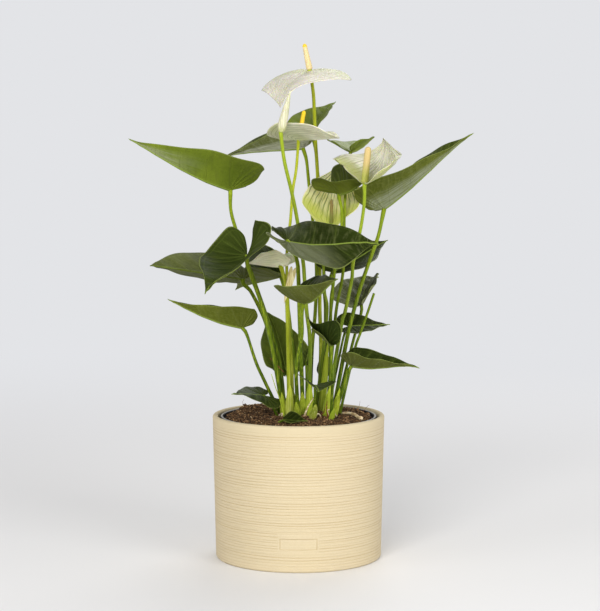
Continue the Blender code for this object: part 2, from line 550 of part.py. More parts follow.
def main():
    clear_scene()
    plant = new_collection("potted_anthurium")
    cutters = new_collection("cutters")
    cutters.hide_render = True

    leaf_green = finish_of("leaf_green", (0.055, 0.105, 0.022), 0.35)
    stem_green = finish_of("stem_green", (0.2, 0.3, 0.05), 0.45)
    petal_white = finish_of("spathe_cream", (0.62, 0.63, 0.47), 0.5)
    petal_green = finish_of("spathe_green", (0.42, 0.48, 0.2), 0.5)
    spike_cream = finish_of("spadix_cream", (0.8, 0.66, 0.32), 0.6)
    spike_yellow = finish_of("spadix_yellow", (0.8, 0.5, 0.04), 0.6)
    dry_cream = finish_of("dry_bract", (0.6, 0.5, 0.3), 0.8)
    root_pale = finish_of("pale_root", (0.55, 0.45, 0.3), 0.8)

    lines = {}
    for name, spec in [*LEAVES.items(), *BLOOMS.items(), ("bud", BUD), ("cut_stem", CUT_STEM)]:
        lines[name] = stem_line(spec)

    cover_pot(plant, cutters)
    nursery_pot(plant, cutters)
    soil(plant, cutters, lines)

    for name, spec in LEAVES.items():
        leaf(name, spec, *lines[name], plant, leaf_green)
    for name, spec in BLOOMS.items():
        bract_tone = petal_green if name == "bloom_4" else petal_white
        spike_tone = spike_yellow if name in ("bloom_2", "bloom_3") else spike_cream
        bloom(name, spec, *lines[name], plant, cutters, (stem_green, bract_tone, spike_tone))

    line, radii = lines["bud"]
    joint = line[0]
    tip = np.array(BUD["tip"], float)
    add_object("bud_stem", tube("bud_stem", line, radii), plant, stem_green)
    shares = np.array([0.0, 0.03, 0.15, 0.4, 0.7, 0.93, 1.0])
    girth = np.array([1.6, 3.0, 3.9, 3.4, 2.2, 1.0, 0.5])
    up = (tip - joint) / np.linalg.norm(tip - joint)
    spear = joint + up * 3 * GAP + (tip - joint) * shares[:, None]
    add_object("bud_spathe", tube("bud_spathe", spear, girth, 10), plant, petal_white)

    line, radii = lines["cut_stem"]
    add_object("cut_stem", tube("cut_stem", line, radii), plant, stem_green)

    add_object("bract", blade_mesh("bract", BRACT, SPATHE_OUTLINE, 9), plant, dry_cream)

    path = rounded([(x, y, 0.0) for x, y in ROOT["path"]], 3)
    radii = np.linspace(*ROOT["radius"], len(path))
    path[:, 2] = soil_height(path[:, 0], path[:, 1]) + radii + 0.6
    add_object("aerial_root", tube("aerial_root", path, radii), plant, root_pale)

    for item in plant.objects:
        item.data.polygons.foreach_set("use_smooth", np.ones(len(item.data.polygons), bool))


main()
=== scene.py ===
# Potted anthurium in a ridged cream pot: the looks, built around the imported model.
# Shapes are worked out in millimetres and written to the meshes in metres.
import bmesh
import bpy
import numpy as np
from mathutils import Matrix, Vector


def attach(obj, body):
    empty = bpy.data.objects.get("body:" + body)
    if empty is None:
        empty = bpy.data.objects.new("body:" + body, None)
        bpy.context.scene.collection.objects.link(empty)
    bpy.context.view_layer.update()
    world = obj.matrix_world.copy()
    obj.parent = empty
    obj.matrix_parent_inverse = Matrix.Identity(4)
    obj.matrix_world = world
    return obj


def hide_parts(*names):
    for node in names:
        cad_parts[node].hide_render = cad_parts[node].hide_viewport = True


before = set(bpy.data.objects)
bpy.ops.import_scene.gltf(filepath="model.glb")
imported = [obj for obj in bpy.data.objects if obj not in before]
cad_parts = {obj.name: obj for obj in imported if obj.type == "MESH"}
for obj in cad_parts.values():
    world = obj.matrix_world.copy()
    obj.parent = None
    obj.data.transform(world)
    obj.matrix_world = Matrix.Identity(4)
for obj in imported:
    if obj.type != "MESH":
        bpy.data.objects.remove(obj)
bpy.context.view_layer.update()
mm = 0.001
soilLevel = 122.6
print("frame loaded:", len(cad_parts), "nodes")

# Half outlines from the tip round to the stalk: along the midrib, out from it (shares of length and width)
leafOutline = ((1.0, 0.0), (0.92, 0.05), (0.78, 0.2), (0.58, 0.5), (0.36, 0.8), (0.13, 0.97),
               (-0.08, 0.96), (-0.22, 0.74), (-0.26, 0.44), (-0.17, 0.15), (0.0, 0.0))
spatheOutline = ((1.0, 0.0), (0.93, 0.07), (0.78, 0.3), (0.56, 0.66), (0.32, 0.92), (0.08, 1.0),
                 (-0.12, 0.86), (-0.2, 0.58), (-0.17, 0.28), (-0.08, 0.08), (0.0, 0.0))

# size: length, half width, lobe length share; turn: heading, pitch, roll in degrees;
# bend: droop, tip, lobes, twist; fold: left, its curl, right, its curl; radius: stem top and foot;
# stem: from the blade's joint down to the soil; blooms also: the spike's tip and its thickness
shapeFields = ("size", "turn", "bend", "fold", "radius", "stem", "spadix", "thick")
leafRows = {
    "leaf_01": ((113, 42, 0.7), (219, 14, 11), (-26, 14, 24, 6), (43, -38, 52, -2), (1.5, 1.8),
        ((-59, 2, 320), (-59, 6, 304), (-56, 11, 290), (-48, 12, 266), (-39, 12, 241), (-27, 11, 206),
        (-17, 10, 171), (-12, 11, 123))),
    "leaf_02": ((74, 27, 0.5), (192, -4, 7), (-2, 12, 9, -10), (46, 16, 54, 0), (1.4, 1.7), ((4, 50, 356),
        (7, 49, 346), (9, 48, 327), (13, 48, 288), (16, 48, 249), (15, 43, 212), (12, 36, 177),
        (10, 28, 123))),
    "leaf_03": ((58, 22, 1.0), (61, 32, 0), (6, 3, 2, 0), (26, 11, 30, 9), (1.1, 1.4), ((10, 82, 372),
        (15, 80, 355), (20, 76, 309), (23, 69, 252), (23, 64, 227), (24, 58, 205), (22, 42, 123))),
    "leaf_04": ((60, 24, 1.3), (69, 2, 3), (-23, 5, 19, -9), (27, -8, 37, -2), (1.2, 1.5), ((46, 33, 353),
        (42, 29, 336), (41, 22, 315), (40, 15, 294), (40, 9, 277), (39, 2, 253), (37, 0, 238), (32, 0, 209),
        (25, 8, 123))),
    "leaf_05": ((106, 43, 0.6), (-24, 34, -3), (-22, 24, 39, 30), (35, -17, 34, -10), (1.6, 1.9),
        ((75, 20, 303), (71, 17, 284), (68, 16, 274), (61, 12, 255), (54, 9, 235), (48, 6, 214),
        (42, 4, 189), (30, 4, 123))),
    "leaf_06": ((49, 29, 0.85), (-40, 6, 25), (-61, 64, -42, 38), (25, 64, 74, -32), (1.3, 1.6),
        ((35, 16, 316), (38, 9, 299), (36, 0, 277), (32, -6, 258), (30, -5, 238), (28, 0, 216),
        (28, 16, 123))),
    "leaf_07": ((88, 40, 1.5), (-110, -29, 15), (-50, 55, 42, -27), (40, -22, 7, 22), (1.5, 1.8),
        ((-44, -24, 265), (-44, -23, 258), (-41, -22, 248), (-33, -19, 226), (-24, -14, 191),
        (-13, -4, 123))),
    "leaf_08": ((112, 42, 0.7), (217, 10, 85), (-2, 42, 24, -3), (57, 21, 79, -1), (1.6, 1.8),
        ((-49, 10, 242), (-48, 10, 237), (-42, 9, 232), (-30, 7, 208), (-24, 6, 186), (-18, 4, 163),
        (-10, 1, 123))),
    "leaf_09": ((82, 34, 0.7), (122, -13, -48), (-12, 20, 7, 2), (57, 16, 60, 18), (1.3, 1.6),
        ((-16, 46, 242), (-14, 44, 236), (-9, 37, 213), (-6, 29, 187), (-3, 24, 165), (-1, 16, 123))),
    "leaf_10": ((87, 48, 0.8), (15, -15, -30), (-52, 50, 34, 36), (68, -58, -45, 5), (1.7, 1.9),
        ((-10, -52, 279), (-5, -50, 272), (-1, -47, 261), (0, -41, 246), (1, -27, 210), (4, -2, 123))),
    "leaf_11": ((82, 32, 0.7), (49, 15, 15), (-11, 8, 22, 12), (42, 4, 22, 3), (1.3, 1.6), ((30, 28, 247),
        (28, 27, 241), (30, 26, 237), (30, 25, 226), (28, 24, 207), (20, 22, 123))),
    "leaf_12": ((79, 30, 1.1), (-68, 4, -1), (-53, 46, 27, 5), (80, -52, 16, 32), (1.4, 1.7),
        ((4, -58, 227), (3, -53, 219), (3, -44, 199), (0, -37, 183), (-2, -32, 165), (0, -13, 123))),
    "leaf_13": ((62, 29, 0.7), (81, 33, -35), (26, 9, 40, 14), (50, 3, 29, -8), (1.2, 1.5), ((56, 42, 217),
        (56, 42, 210), (50, 37, 190), (43, 29, 164), (33, 18, 123))),
    "leaf_14": ((38, 15, 1.0), (16, 1, 23), (3, -5, -2, -3), (16, 20, 0, 6), (1.0, 1.3), ((45, 20, 200),
        (41, 17, 195), (37, 11, 180), (25, 1, 123))),
    "leaf_15": ((47, 23, 0.9), (104, 5, -35), (-63, -51, -41, -14), (78, 0, 73, -61), (1.2, 1.5),
        ((28, -38, 189), (28, -35, 173), (29, -30, 153), (28, -24, 123))),
    "leaf_16": ((60, 22, 0.7), (-13, -12, -8), (-52, 58, 17, 15), (41, 24, 33, -3), (1.3, 1.6),
        ((46, -16, 169), (42, -15, 162), (39, -13, 150), (31, -8, 123))),
    "leaf_17": ((66, 32, 0.6), (115, 60, 18), (-4, 42, 42, -29), (18, -5, 77, 1), (1.2, 1.5),
        ((-11, 34, 158), (-9, 33, 152), (-8, 32, 142), (-6, 30, 123))),
    "leaf_18": ((72, 26, 0.7), (198, 10, 6), (-30, 12, 29, -9), (45, -8, 39, 4), (1.3, 1.6),
        ((-49, -4, 201), (-45, -3, 195), (-37, 0, 170), (-29, 2, 152), (-16, 4, 123))),
    "leaf_19": ((43, 17, 1.1), (231, 10, -10), (1, 8, 17, 12), (-11, -35, 9, 8), (1.0, 1.2),
        ((-30, -14, 143), (-24, -11, 135), (-18, -6, 123))),
    "leaf_20": ((24, 11, 0.7), (33, -8, 55), (-6, 1, 33, -15), (71, 7, 47, 5), (0.8, 1.0), ((-12, -50, 127),
        (-16, -47, 125), (-18, -44, 123))),
    "leaf_21": ((15, 19, 0.9), (-75, -5, -12), (20, 0, 0, 0), (22, 0, 22, 0), (1.0, 1.2), ((14, -40, 155),
        (14, -36, 146), (12, -24, 123))),
    "leaf_22": ((17, 7, 0.9), (60, 62, 0), (0, 0, 10, 0), (30, 0, 30, 0), (1.0, 1.3), ((7, 6, 170),
        (7, 7, 156), (7, 8, 123))),
    "leaf_23": ((22, 9, 0.9), (90, 62, 0), (0, 0, 10, 0), (30, 0, 30, 0), (1.0, 1.3), ((24, 54, 155),
        (23, 54, 143), (21, 54, 123))),
}
bloomRows = {
    "bloom_1": ((71, 44, 0.8), (-119, -14, 12), (7, 50, -40, 12), (0, -46, 21, -44), (1.5, 1.9),
        ((10, 34, 424), (13, 37, 405), (14, 40, 386), (15, 46, 363), (17, 53, 332), (18, 55, 292),
        (19, 53, 249), (19, 47, 212), (20, 40, 177), (18, 30, 123)), (5, 35, 448), (2.8, 1.9)),
    "bloom_2": ((52, 32, 1.5), (-48, 2, -1), (0, -2, -19, -18), (21, -9, 30, -14), (1.2, 1.6),
        ((0, -4, 363), (-2, 0, 338), (-5, 4, 320), (-7, 8, 294), (-10, 9, 268), (-10, 9, 238), (-8, 7, 198),
        (-6, 5, 167), (-5, 4, 123)), (5, -6, 389), (2.0, 1.7)),
    "bloom_3": ((60, 39, 0.7), (50, 15, -18), (-50, -31, 41, -3), (66, -24, -6, 40), (1.4, 1.8),
        ((56, -30, 326), (56, -27, 310), (53, -20, 287), (47, -13, 258), (46, -12, 244), (40, -9, 214),
        (37, -8, 203), (24, -6, 123)), (59, -36, 358), (3.0, 2.7)),
    "bloom_4": ((65, 38, 0.7), (81, 46, 7), (-24, 13, 28, 14), (34, 23, 46, 8), (1.2, 1.5), ((29, 36, 289),
        (26, 27, 271), (22, 17, 255), (23, 19, 230), (25, 20, 208), (15, 20, 123)), (29, 24, 312),
        (1.6, 1.3)),
    "bloom_5": ((31, 19, 1.5), (162, 1, 6), (-12, 6, -8, 5), (53, -16, 44, -1), (1.6, 2.0), ((-15, -8, 254),
        (-11, -8, 239), (-10, -8, 223), (-9, -7, 186), (-8, -7, 123)), (-19, -10, 265), (1.5, 1.1)),
}
leafShapes, bloomShapes = ({name: dict(zip(shapeFields, row)) for name, row in rows.items()}
                           for rows in (leafRows, bloomRows))


# Helpers
def hashed(values):
    # a number from 0 to 1 for each value: the fraction of a large multiple of its sine
    return np.modf(np.abs(np.sin(np.asarray(values, float) * 127.1 + 11.7) * 43758.5453))[0]


def held(v):
    return np.clip(v, 0, 1)


def eased(v):
    # 3v^2 - 2v^3
    return held(v) ** 2 * (3 - 2 * held(v))


def bell(v):
    # exp(-v^2)
    return np.exp(-np.square(v))


def smoothNoise(x, y, seed=0.0):
    # value noise: hashed numbers on the whole-number grid, blended by 3f^2 - 2f^3 inside each cell
    x, y = np.broadcast_arrays(x, y)
    cellX, cellY = np.floor(x), np.floor(y)
    blendX, blendY = eased(x - cellX), eased(y - cellY)

    def edge(dy):
        near, far = (hashed((cellX + dx) * 1.37 + (cellY + dy) * 57.31 + seed * 7.77) for dx in (0, 1))
        return near * (1 - blendX) + far * blendX

    return edge(0) * (1 - blendY) + edge(1) * blendY


def curveThrough(points, steps):
    # Catmull-Rom: each span is a cubic in f whose ends lean along the chords of their neighbours
    p = np.asarray(points, float)
    t = np.linspace(0, len(p) - 1, steps * (len(p) - 1) + 1)
    i = np.minimum(t.astype(int), len(p) - 2)
    f = (t - i)[:, None]
    pad = np.vstack([2 * p[0] - p[1], p, 2 * p[-1] - p[-2]])
    a, b, c, d = (pad[i + k] for k in range(4))
    return 0.5 * (2 * b + (c - a) * f + (2 * a - 5 * b + 4 * c - d) * f ** 2
                  + (3 * b - a - 3 * c + d) * f ** 3)


def unit(v):
    # each vector over its length
    return v / np.maximum(np.linalg.norm(v, axis=-1, keepdims=True), 1e-12)


def joined(*parts):
    # arrays of one shape side by side as the coordinates of points
    return np.stack(np.broadcast_arrays(*parts), -1)


def around(radius, angle, z):
    # points at a radius, an angle and a height round an upright axis
    return joined(radius * np.cos(angle), radius * np.sin(angle), z)


def wholeTurn(sides):
    # evenly spaced angles once round
    return np.linspace(0, 2 * np.pi, sides, endpoint=False)


def gridFaces(rows, columns, closed=False):
    # quads between neighbouring rows and columns of a grid of points, round again if closed
    i, j = np.meshgrid(np.arange(rows - 1), np.arange(columns if closed else columns - 1), indexing="ij")
    k = (j + 1) % columns
    low, high = i * columns, (i + 1) * columns
    return joined(low + j, low + k, high + k, high + j).reshape(-1, 4)


def ringSurface(rings, first, last):
    # rings of points joined one to the next and closed to a middle point at either end
    rows, columns = rings.shape[:2]
    turn = np.arange(columns)
    after, end, middle = (turn + 1) % columns, (rows - 1) * columns, rows * columns
    return (np.vstack([rings.reshape(-1, 3), first, last]),
            [*gridFaces(rows, columns, closed=True), *joined(turn, middle, after),
             *joined(end + after, middle + 1, end + turn)])


def tubeSurface(line, radii, sides, side=(1.0, 0.0, 0.0), roundness=None):
    # circles of the given radii carried along a line, each square to it, with a point closing each end
    ahead = unit(np.gradient(line, axis=0))
    across = unit(np.cross(ahead, np.array(side)))
    up = np.cross(ahead, across)
    angle = wholeTurn(sides)
    ring = across[:, None] * np.cos(angle)[None, :, None] + up[:, None] * np.sin(angle)[None, :, None]
    reach = np.asarray(radii, float)[:, None]
    if roundness is not None:
        reach = reach * roundness(np.linspace(0, 1, len(line))[:, None], angle[None])
    return ringSurface(line[:, None] + ring * reach[..., None], line[0] - ahead[0] * radii[0] * 0.25,
                       line[-1] + ahead[-1] * radii[-1] * 0.25)


def merged(shapes):
    # several (points, faces) as one
    faces, count = [], 0
    for points, own in shapes:
        faces += [np.asarray(face) + count for face in own]
        count += len(points)
    return np.vstack([points for points, _ in shapes]), faces


def closedSheet(grid, above, below):
    # two copies of a grid of points, moved apart by the heights above and below and shared at the edge
    rows, columns = grid.shape[:2]
    slopes = [np.gradient(grid, axis=k) for k in (0, 1)]
    for slope in slopes:
        slope[0] = slope[1]
    normal = unit(np.cross(*slopes))
    index = np.arange(rows * columns).reshape(rows, columns)
    inner = np.zeros((rows, columns), bool)
    inner[1:-1, 1:-1] = True
    lowIndex = index.copy()
    lowIndex[inner] = rows * columns + np.arange(inner.sum())
    points = np.vstack([(grid + normal * above[..., None]).reshape(-1, 3),
                        (grid - normal * below[..., None])[inner]])
    faces = gridFaces(rows, columns)
    under, pick = lowIndex.ravel()[faces][:, ::-1], np.r_[index.ravel(), index[inner]]
    return points, np.vstack([faces, under]), np.repeat([0, 1], len(faces)), pick


def soilHeight(x, y):
    # a low mound, a bank at the back left, a smaller one at the back right, and gentle lumps
    mound = 0.8 - 0.00035 * (x * x + y * y)
    bank = 3.2 * np.exp(-((x + 42) ** 2 + (y - 44) ** 2) / 420.0)
    shoulder = 1.4 * np.exp(-((x - 38) ** 2 + (y - 42) ** 2) / 420.0)
    lumps = 0.5 * np.sin(x * 0.31 + 1.0) * np.sin(y * 0.27) + 0.3 * np.sin(x * 0.17 - y * 0.23)
    return soilLevel + mound + bank + shoulder + lumps


def stemLine(shape):
    # the curve through the stem's points and on into the soil, evenly divided, with its radii
    points = [np.array(p, float) for p in shape["stem"]]
    foot, before = points[-1], points[-2]
    foot[2] = soilHeight(foot[0], foot[1])
    lean = (foot - before) / max(before[2] - foot[2], 1.0)
    buried = foot + np.array([lean[0] * 0.35, lean[1] * 0.35, -1.0]) * 9
    line = curveThrough(points + [buried], 8)
    run = np.r_[0, np.cumsum(np.linalg.norm(np.diff(line, axis=0), axis=1))]
    at = np.linspace(0, run[-1], max(8, int(run[-1] / 4)))
    top, low = shape["radius"]
    return joined(*(np.interp(at, run, line[:, k]) for k in range(3))), top + (low - top) * at / at[-1], at


def placed(name, data, at=(0, 0, 0), turn=(0, 0, 0)):
    made = bpy.data.objects.new(name, data)
    made.location, made.rotation_euler = at, turn
    bpy.context.scene.collection.objects.link(made)
    return made


def newMesh(name, points, faces):
    # millimetres in, metres out
    mesh = bpy.data.meshes.new(name)
    mesh.from_pydata((np.asarray(points) * mm).tolist(), [], [np.asarray(f).tolist() for f in faces])
    return mesh


def newPiece(name, points, faces, slot, replaced=(), finishes=(), finishOf=None, maps=None, weld=0.0):
    # writes points in mm and faces to a mesh, with its maps and finishes, and fixes it to the frame
    mesh = newMesh(name, points, faces)
    for mapName, values in (maps or {}).items():
        layer = mesh.attributes.new(mapName, "FLOAT_VECTOR", "POINT")
        layer.data.foreach_set("vector", np.asarray(values, np.float32).ravel())
    for finish in finishes:
        mesh.materials.append(finish)
    if finishOf is not None:
        mesh.polygons.foreach_set("material_index", np.asarray(finishOf, np.int32))
    work = bmesh.new()
    work.from_mesh(mesh)
    if weld:
        bmesh.ops.remove_doubles(work, verts=work.verts, dist=weld * mm)
        bmesh.ops.dissolve_degenerate(work, dist=1e-9, edges=work.edges)
    bmesh.ops.recalc_face_normals(work, faces=work.faces)
    if work.calc_volume(signed=True) < 0:
        bmesh.ops.reverse_faces(work, faces=work.faces)
    work.to_mesh(mesh)
    work.free()
    mesh.polygons.foreach_set("use_smooth", np.ones(len(mesh.polygons), bool))
    piece = placed(name, mesh)
    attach(piece, "root")
    if replaced:
        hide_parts(*replaced)
    return piece


# Finishes
class Finish:
    # a Principled material whose nodes are added one after another
    def __init__(self, name, roughness, specular, soft=0.0):
        self.material = bpy.data.materials.new(name)
        self.material.use_nodes = True
        self.tree = self.material.node_tree
        self.shader = self.tree.nodes["Principled BSDF"]
        self.put("Roughness", roughness)
        self.put("Specular IOR Level", specular)
        if soft:
            self.put("Subsurface Weight", soft)
            self.put("Subsurface Radius", (0.6, 0.9, 0.25))
            self.put("Subsurface Scale", 0.0015)
        self.place = self.node("TexCoord").outputs["Object"]

    def node(self, kind, *values, **props):
        # a node with its first sockets fed in order
        made = self.tree.nodes.new("ShaderNode" + kind)
        for key, value in props.items():
            setattr(made, key, value)
        for socket, value in zip(made.inputs, values):
            self.feed(socket, value)
        return made

    def feed(self, socket, value):
        if isinstance(value, bpy.types.NodeSocket):
            self.tree.links.new(value, socket)
        else:
            socket.default_value = (*value, 1.0) if socket.type == "RGBA" else value

    def put(self, name, value):
        self.feed(self.shader.inputs[name], value)

    def math(self, operation, *values):
        return self.node("Math", *values, operation=operation).outputs[0]

    def times(self, first, second):
        return self.math("MULTIPLY", first, second)

    def plus(self, first, second):
        return self.math("ADD", first, second)

    def less(self, first, second):
        return self.math("SUBTRACT", first, second)

    def size(self, value):
        return self.math("ABSOLUTE", value)

    def joined(self, x, y):
        return self.node("CombineXYZ", x, y).outputs[0]

    def axes(self, name=None):
        # the three parts of an attribute, or else of the place
        vector = self.node("Attribute", attribute_name=name).outputs["Vector"] if name else self.place
        return self.node("SeparateXYZ", vector).outputs

    def noise(self, scale, detail, place=None, stretch=None):
        # noise at the object's own place or at another, finer along an axis by its stretch
        at = place or self.place
        if stretch:
            turned = self.node("Mapping", at)
            turned.inputs["Scale"].default_value = stretch
            at = turned.outputs[0]
        made = self.node("TexNoise", at)
        made.inputs["Scale"].default_value = scale
        made.inputs["Detail"].default_value = detail
        return made.outputs["Fac"]

    def cells(self, scale):
        made = self.node("TexVoronoi", self.place)
        made.inputs["Scale"].default_value = scale
        return made.outputs["Distance"]

    def ramp(self, value, low, high, start=0.0, end=1.0):
        # a value moved from the range low..high to start..end, held at the ends
        made = self.node("MapRange", value, low, high, start, end, interpolation_type="SMOOTHSTEP")
        return made.outputs[0]

    def mix(self, share, first, second):
        made = self.node("Mix", share, data_type="RGBA")
        self.feed(made.inputs[6], first)
        self.feed(made.inputs[7], second)
        return made.outputs[2]

    def paint(self, tone, *coats):
        # the base colour: a tone, and over it one colour after another, each by its share
        for share, colour in coats:
            tone = self.mix(share, tone, colour)
        self.put("Base Color", tone)

    def relief(self, height, strength, distance):
        # the shading slope follows a height, without moving the surface
        made = self.node("Bump", strength, distance)
        self.feed(made.inputs["Height"], height)
        self.put("Normal", made.outputs[0])


# Cover pot
# rim and foot: radius and height of each ring, from the wall's top edge inwards and down, and under it
potLook = dict(height=125.0, topRadius=75.0, footRadius=72.4, sides=270, rows=330, ridgePitch=2.45,
    ridgeWidth=0.36, ridgeDepth=0.26, labelHeight=24.5, labelSize=(31.0, 9.0), labelDepth=0.45,
    rim=((74.9, 121.8), (75.0, 122.8), (74.75, 123.8), (74.1, 124.55), (73.2, 124.92), (72.0, 125.0),
         (71.1, 124.55), (70.5, 123.7), (70.4, 122.6), (70.1, 95.0), (69.4, 14.0), (67.9, 8.0),
         (65.9, 6.2), (30.0, 6.0), (0.4, 6.0)),
    foot=((0.4, 0.0), (40.0, 0.0), (70.8, 0.0), (71.9, 0.5)), clay=(0.535, 0.44, 0.272),
    paleClay=(0.612, 0.525, 0.362), cloudClay=(0.575, 0.48, 0.305),
    # the darker clay is a fine random speckle and the painted shade in the grooves and at the label's step;
    # the rim clay is a painted highlight on the band up to the rim
    speckleAndShadeClay=(0.38, 0.275, 0.135), rimHighlightClay=(0.56, 0.47, 0.3))


def potGrooves(height, angle, look):
    # sum of narrow grooves, depth * exp(-((z - z_k(a)) / width)^2), each drifting and fading round the pot
    k = np.arange(int((look["height"] - 4.5) / look["ridgePitch"]))
    base = 3.2 + (k + 0.3 * (hashed(k + 0.5) - 0.5)) * look["ridgePitch"]
    deep = look["ridgeDepth"] * (0.8 + 0.2 * hashed(k + 40))
    turn = 2 * np.pi * hashed(k + 7)
    total = 0
    for z, depth, phase, lobes in zip(base, deep, turn, 1 + (hashed(k + 3) * 3).astype(int)):
        drift = 0.1 * np.sin(angle + phase) + 0.05 * np.sin(3 * angle + 2 * phase)
        fade = 0.85 + 0.15 * np.sin(lobes * angle + 3 * phase)
        total = total + depth * fade * bell((height - z - drift) / look["ridgeWidth"])
    return total


def makeCoverPot(look):
    # radius(z, a) = straight cone - grooves - label recess, turned once round; then rim, inside and foot
    wide, high = np.array(look["labelSize"]) / 2
    # angles of the label's middle and half width; columns stand closer together at its two ends
    front, half, gap = -np.pi / 2, np.arcsin(wide / look["footRadius"]), 0.034
    near = np.radians(0.55) * np.arange(-3, 4)
    angle = wholeTurn(look["sides"]) - np.pi
    angle = angle[(np.abs(angle - front + half) > gap) & (np.abs(angle - front - half) > gap)]
    angle = np.sort(np.r_[angle, front - half + near, front + half + near])
    z = np.linspace(1.6, look["height"] - 4.4, look["rows"])[:, None]
    cone = look["footRadius"] + (look["topRadius"] - look["footRadius"]) * z / look["height"]
    offX = np.abs(angle - front) * look["footRadius"] - wide
    offZ = np.abs(z - look["labelHeight"]) - high
    inside = eased(0.5 - np.maximum(offX, offZ) / 0.7)
    plain = held(0.5 - np.maximum(offX - 1.5, offZ - 4.0) / 2.5)
    fade = held((look["height"] - 5.5 - z) / 2.0) * held((z - 1.6) / 2.0)
    grooves = potGrooves(z, angle, look) * fade * (1 - 0.9 * plain)
    grain = 0.05 * (smoothNoise(angle * 90 / np.pi, z * 0.8, 3.0) - 0.5)
    wall = around(cone - grooves - look["labelDepth"] * inside + grain, angle, z)
    below, above = (np.array([around(r, angle, h) for r, h in look[part]]) for part in ("foot", "rim"))
    points, faces = ringSurface(np.vstack([below, wall, above]), (0, 0, 0), (0, 0, look["rim"][-1][1]))

    # how deep each point lies in a groove, and how far into the step of the label; the finish paints both
    # darker as painted shade
    cut = np.zeros((len(points), 3))
    start = below[..., 0].size
    cut[start:start + grooves.size, 0] = (grooves / look["ridgeDepth"]).ravel()
    cut[start:start + grooves.size, 1] = (4 * inside * (1 - inside)).ravel()

    clay = Finish("matteCream", 0.82, 0.3)
    layers = clay.noise(1.0, 2.0, stretch=(12, 12, 900))
    fine = clay.noise(900, 2.0)
    deep, edge, _ = clay.axes("cut")
    clay.paint(look["clay"], (clay.ramp(layers, 0.3, 0.7, 0.36, 0.66), look["paleClay"]),
               (clay.ramp(clay.noise(26, 3.0), 0.3, 0.75, 0.0, 0.45), look["cloudClay"]),
               (clay.ramp(fine, 0.35, 0.75, 0.0, 0.12), look["speckleAndShadeClay"]),
               # painted highlight: the band from just under the rim up to the top is painted lighter
               (clay.ramp(clay.axes()[2], 0.113, 0.119, 0.0, 0.7), look["rimHighlightClay"]),
               # painted shade: the grooves and the label's step darkened with the dark clay, which also
               # gives the fine speckle above
               (clay.ramp(deep, 0.2, 0.85, 0.0, 0.72), look["speckleAndShadeClay"]),
               (clay.ramp(edge, 0.1, 0.8, 0.0, 0.75), look["speckleAndShadeClay"]))
    clay.relief(clay.plus(clay.times(layers, 0.5), clay.times(fine, 0.25)), 0.3, 0.0004)
    newPiece("ridgedPot", points, faces, "matte_cream", ["cover_pot"], [clay.material], maps={"cut": cut})


makeCoverPot(potLook)
print("cover pot made")

# Nursery pot
innerPotLook = dict(radius=68.6, height=117.6, foot=60.0, wall=1.4, base=6.3, sides=144, holes=6,
    holeRadius=4.0, holesAt=40.0)


def makeNurseryPot(look):
    # a thin profile turned once round: outside from the base up to the rolled lip, then down the inside
    low, wall, lip, foot = (look[key] for key in ("base", "wall", "radius", "foot"))
    top = low + look["height"]
    turned = np.linspace(-0.5 * np.pi, 1.15 * np.pi, 14)[3:]
    roll = [(lip - 1.5 + 1.5 * np.cos(t), top - 1.5 + 1.5 * np.sin(t)) for t in turned]
    profile = [(foot - 1, low), (foot, low + 1), (lip - 3, top - 8), (lip - 2.4, top - 6.2),
               (lip - 0.4, top - 5.6), (lip, top - 5.0), (lip, top - 2.2), *roll,
               (lip - 3 - wall * 0.6, top - 3), (foot - wall, low + wall)]
    rings = np.array([around(r, wholeTurn(look["sides"]), h) for r, h in profile])
    plastic = Finish("blackPlastic", 0.5, 0.12)
    # painted highlight: a pale line painted along the crest of the rolled lip
    crestHighlight = plastic.ramp(plastic.axes()[2], (top - 0.32) * mm, (top - 0.1) * mm, 0.0, 0.7)
    dust = plastic.ramp(plastic.noise(160, 3.0), 0.5, 0.75, 0.0, 0.5)
    plastic.paint((0.004, 0.004, 0.004), (dust, (0.03, 0.027, 0.024)), (crestHighlight, (0.5, 0.48, 0.44)))
    plastic.put("Roughness", plastic.ramp(dust, 0.0, 0.5, 0.4, 0.6))
    pot = newPiece("growersPot", *ringSurface(rings, (0, 0, low), (0, 0, low + wall)), "black_plastic",
                   ["nursery_pot"], [plastic.material])
    heights = low + np.array([-2, 1, 4])
    punches = [tubeSurface(around(look["holesAt"], turn, heights), [look["holeRadius"]] * 3, 20)
               for turn in wholeTurn(look["holes"])]
    punch = placed("drainPunch", newMesh("drainPunch", *merged(punches)))
    cutter = pot.modifiers.new("holes", "BOOLEAN")
    cutter.operation = "DIFFERENCE"
    cutter.object = punch
    cutter.solver = "EXACT"
    bpy.context.view_layer.update()
    pot.data = bpy.data.meshes.new_from_object(pot.evaluated_get(bpy.context.evaluated_depsgraph_get()))
    pot.modifiers.clear()
    bpy.data.objects.remove(punch)


makeNurseryPot(innerPotLook)
print("nursery pot made")

# Soil
soilLook = dict(radius=64.3, bottom=58.5, edge=119.0, low=8.6, rings=74, sides=210, clod=1.5)
rootLook = dict(radius=(1.1, 1.7), path=((38, 6), (43, 4), (48, -2), (51, -12), (54, -27)))
# loose bits: name, how many, least and greatest size, seed, spread from the middle, dark and light tone
crumbLooks = (("darkCrumbs", 2600, (0.7, 1.9), 11, 1.0, (0.02, 0.01, 0.005), (0.14, 0.075, 0.032)),
    ("brownCrumbs", 1500, (0.6, 1.6), 12, 1.0, (0.13, 0.065, 0.026), (0.4, 0.24, 0.11)),
    ("paleFlecks", 190, (0.5, 1.1), 13, 1.1, (0.36, 0.25, 0.13), (0.68, 0.54, 0.34)))


def rootPath(steps):
    # the root's line as seen from above
    return curveThrough([(x, y, 0.0) for x, y in rootLook["path"]], steps)


def offRoot(x, y):
    # how far a place is from the line of the pale root, by its nearest point
    path = rootPath(6)
    return np.hypot(x[..., None] - path[:, 0], y[..., None] - path[:, 1]).min(-1)


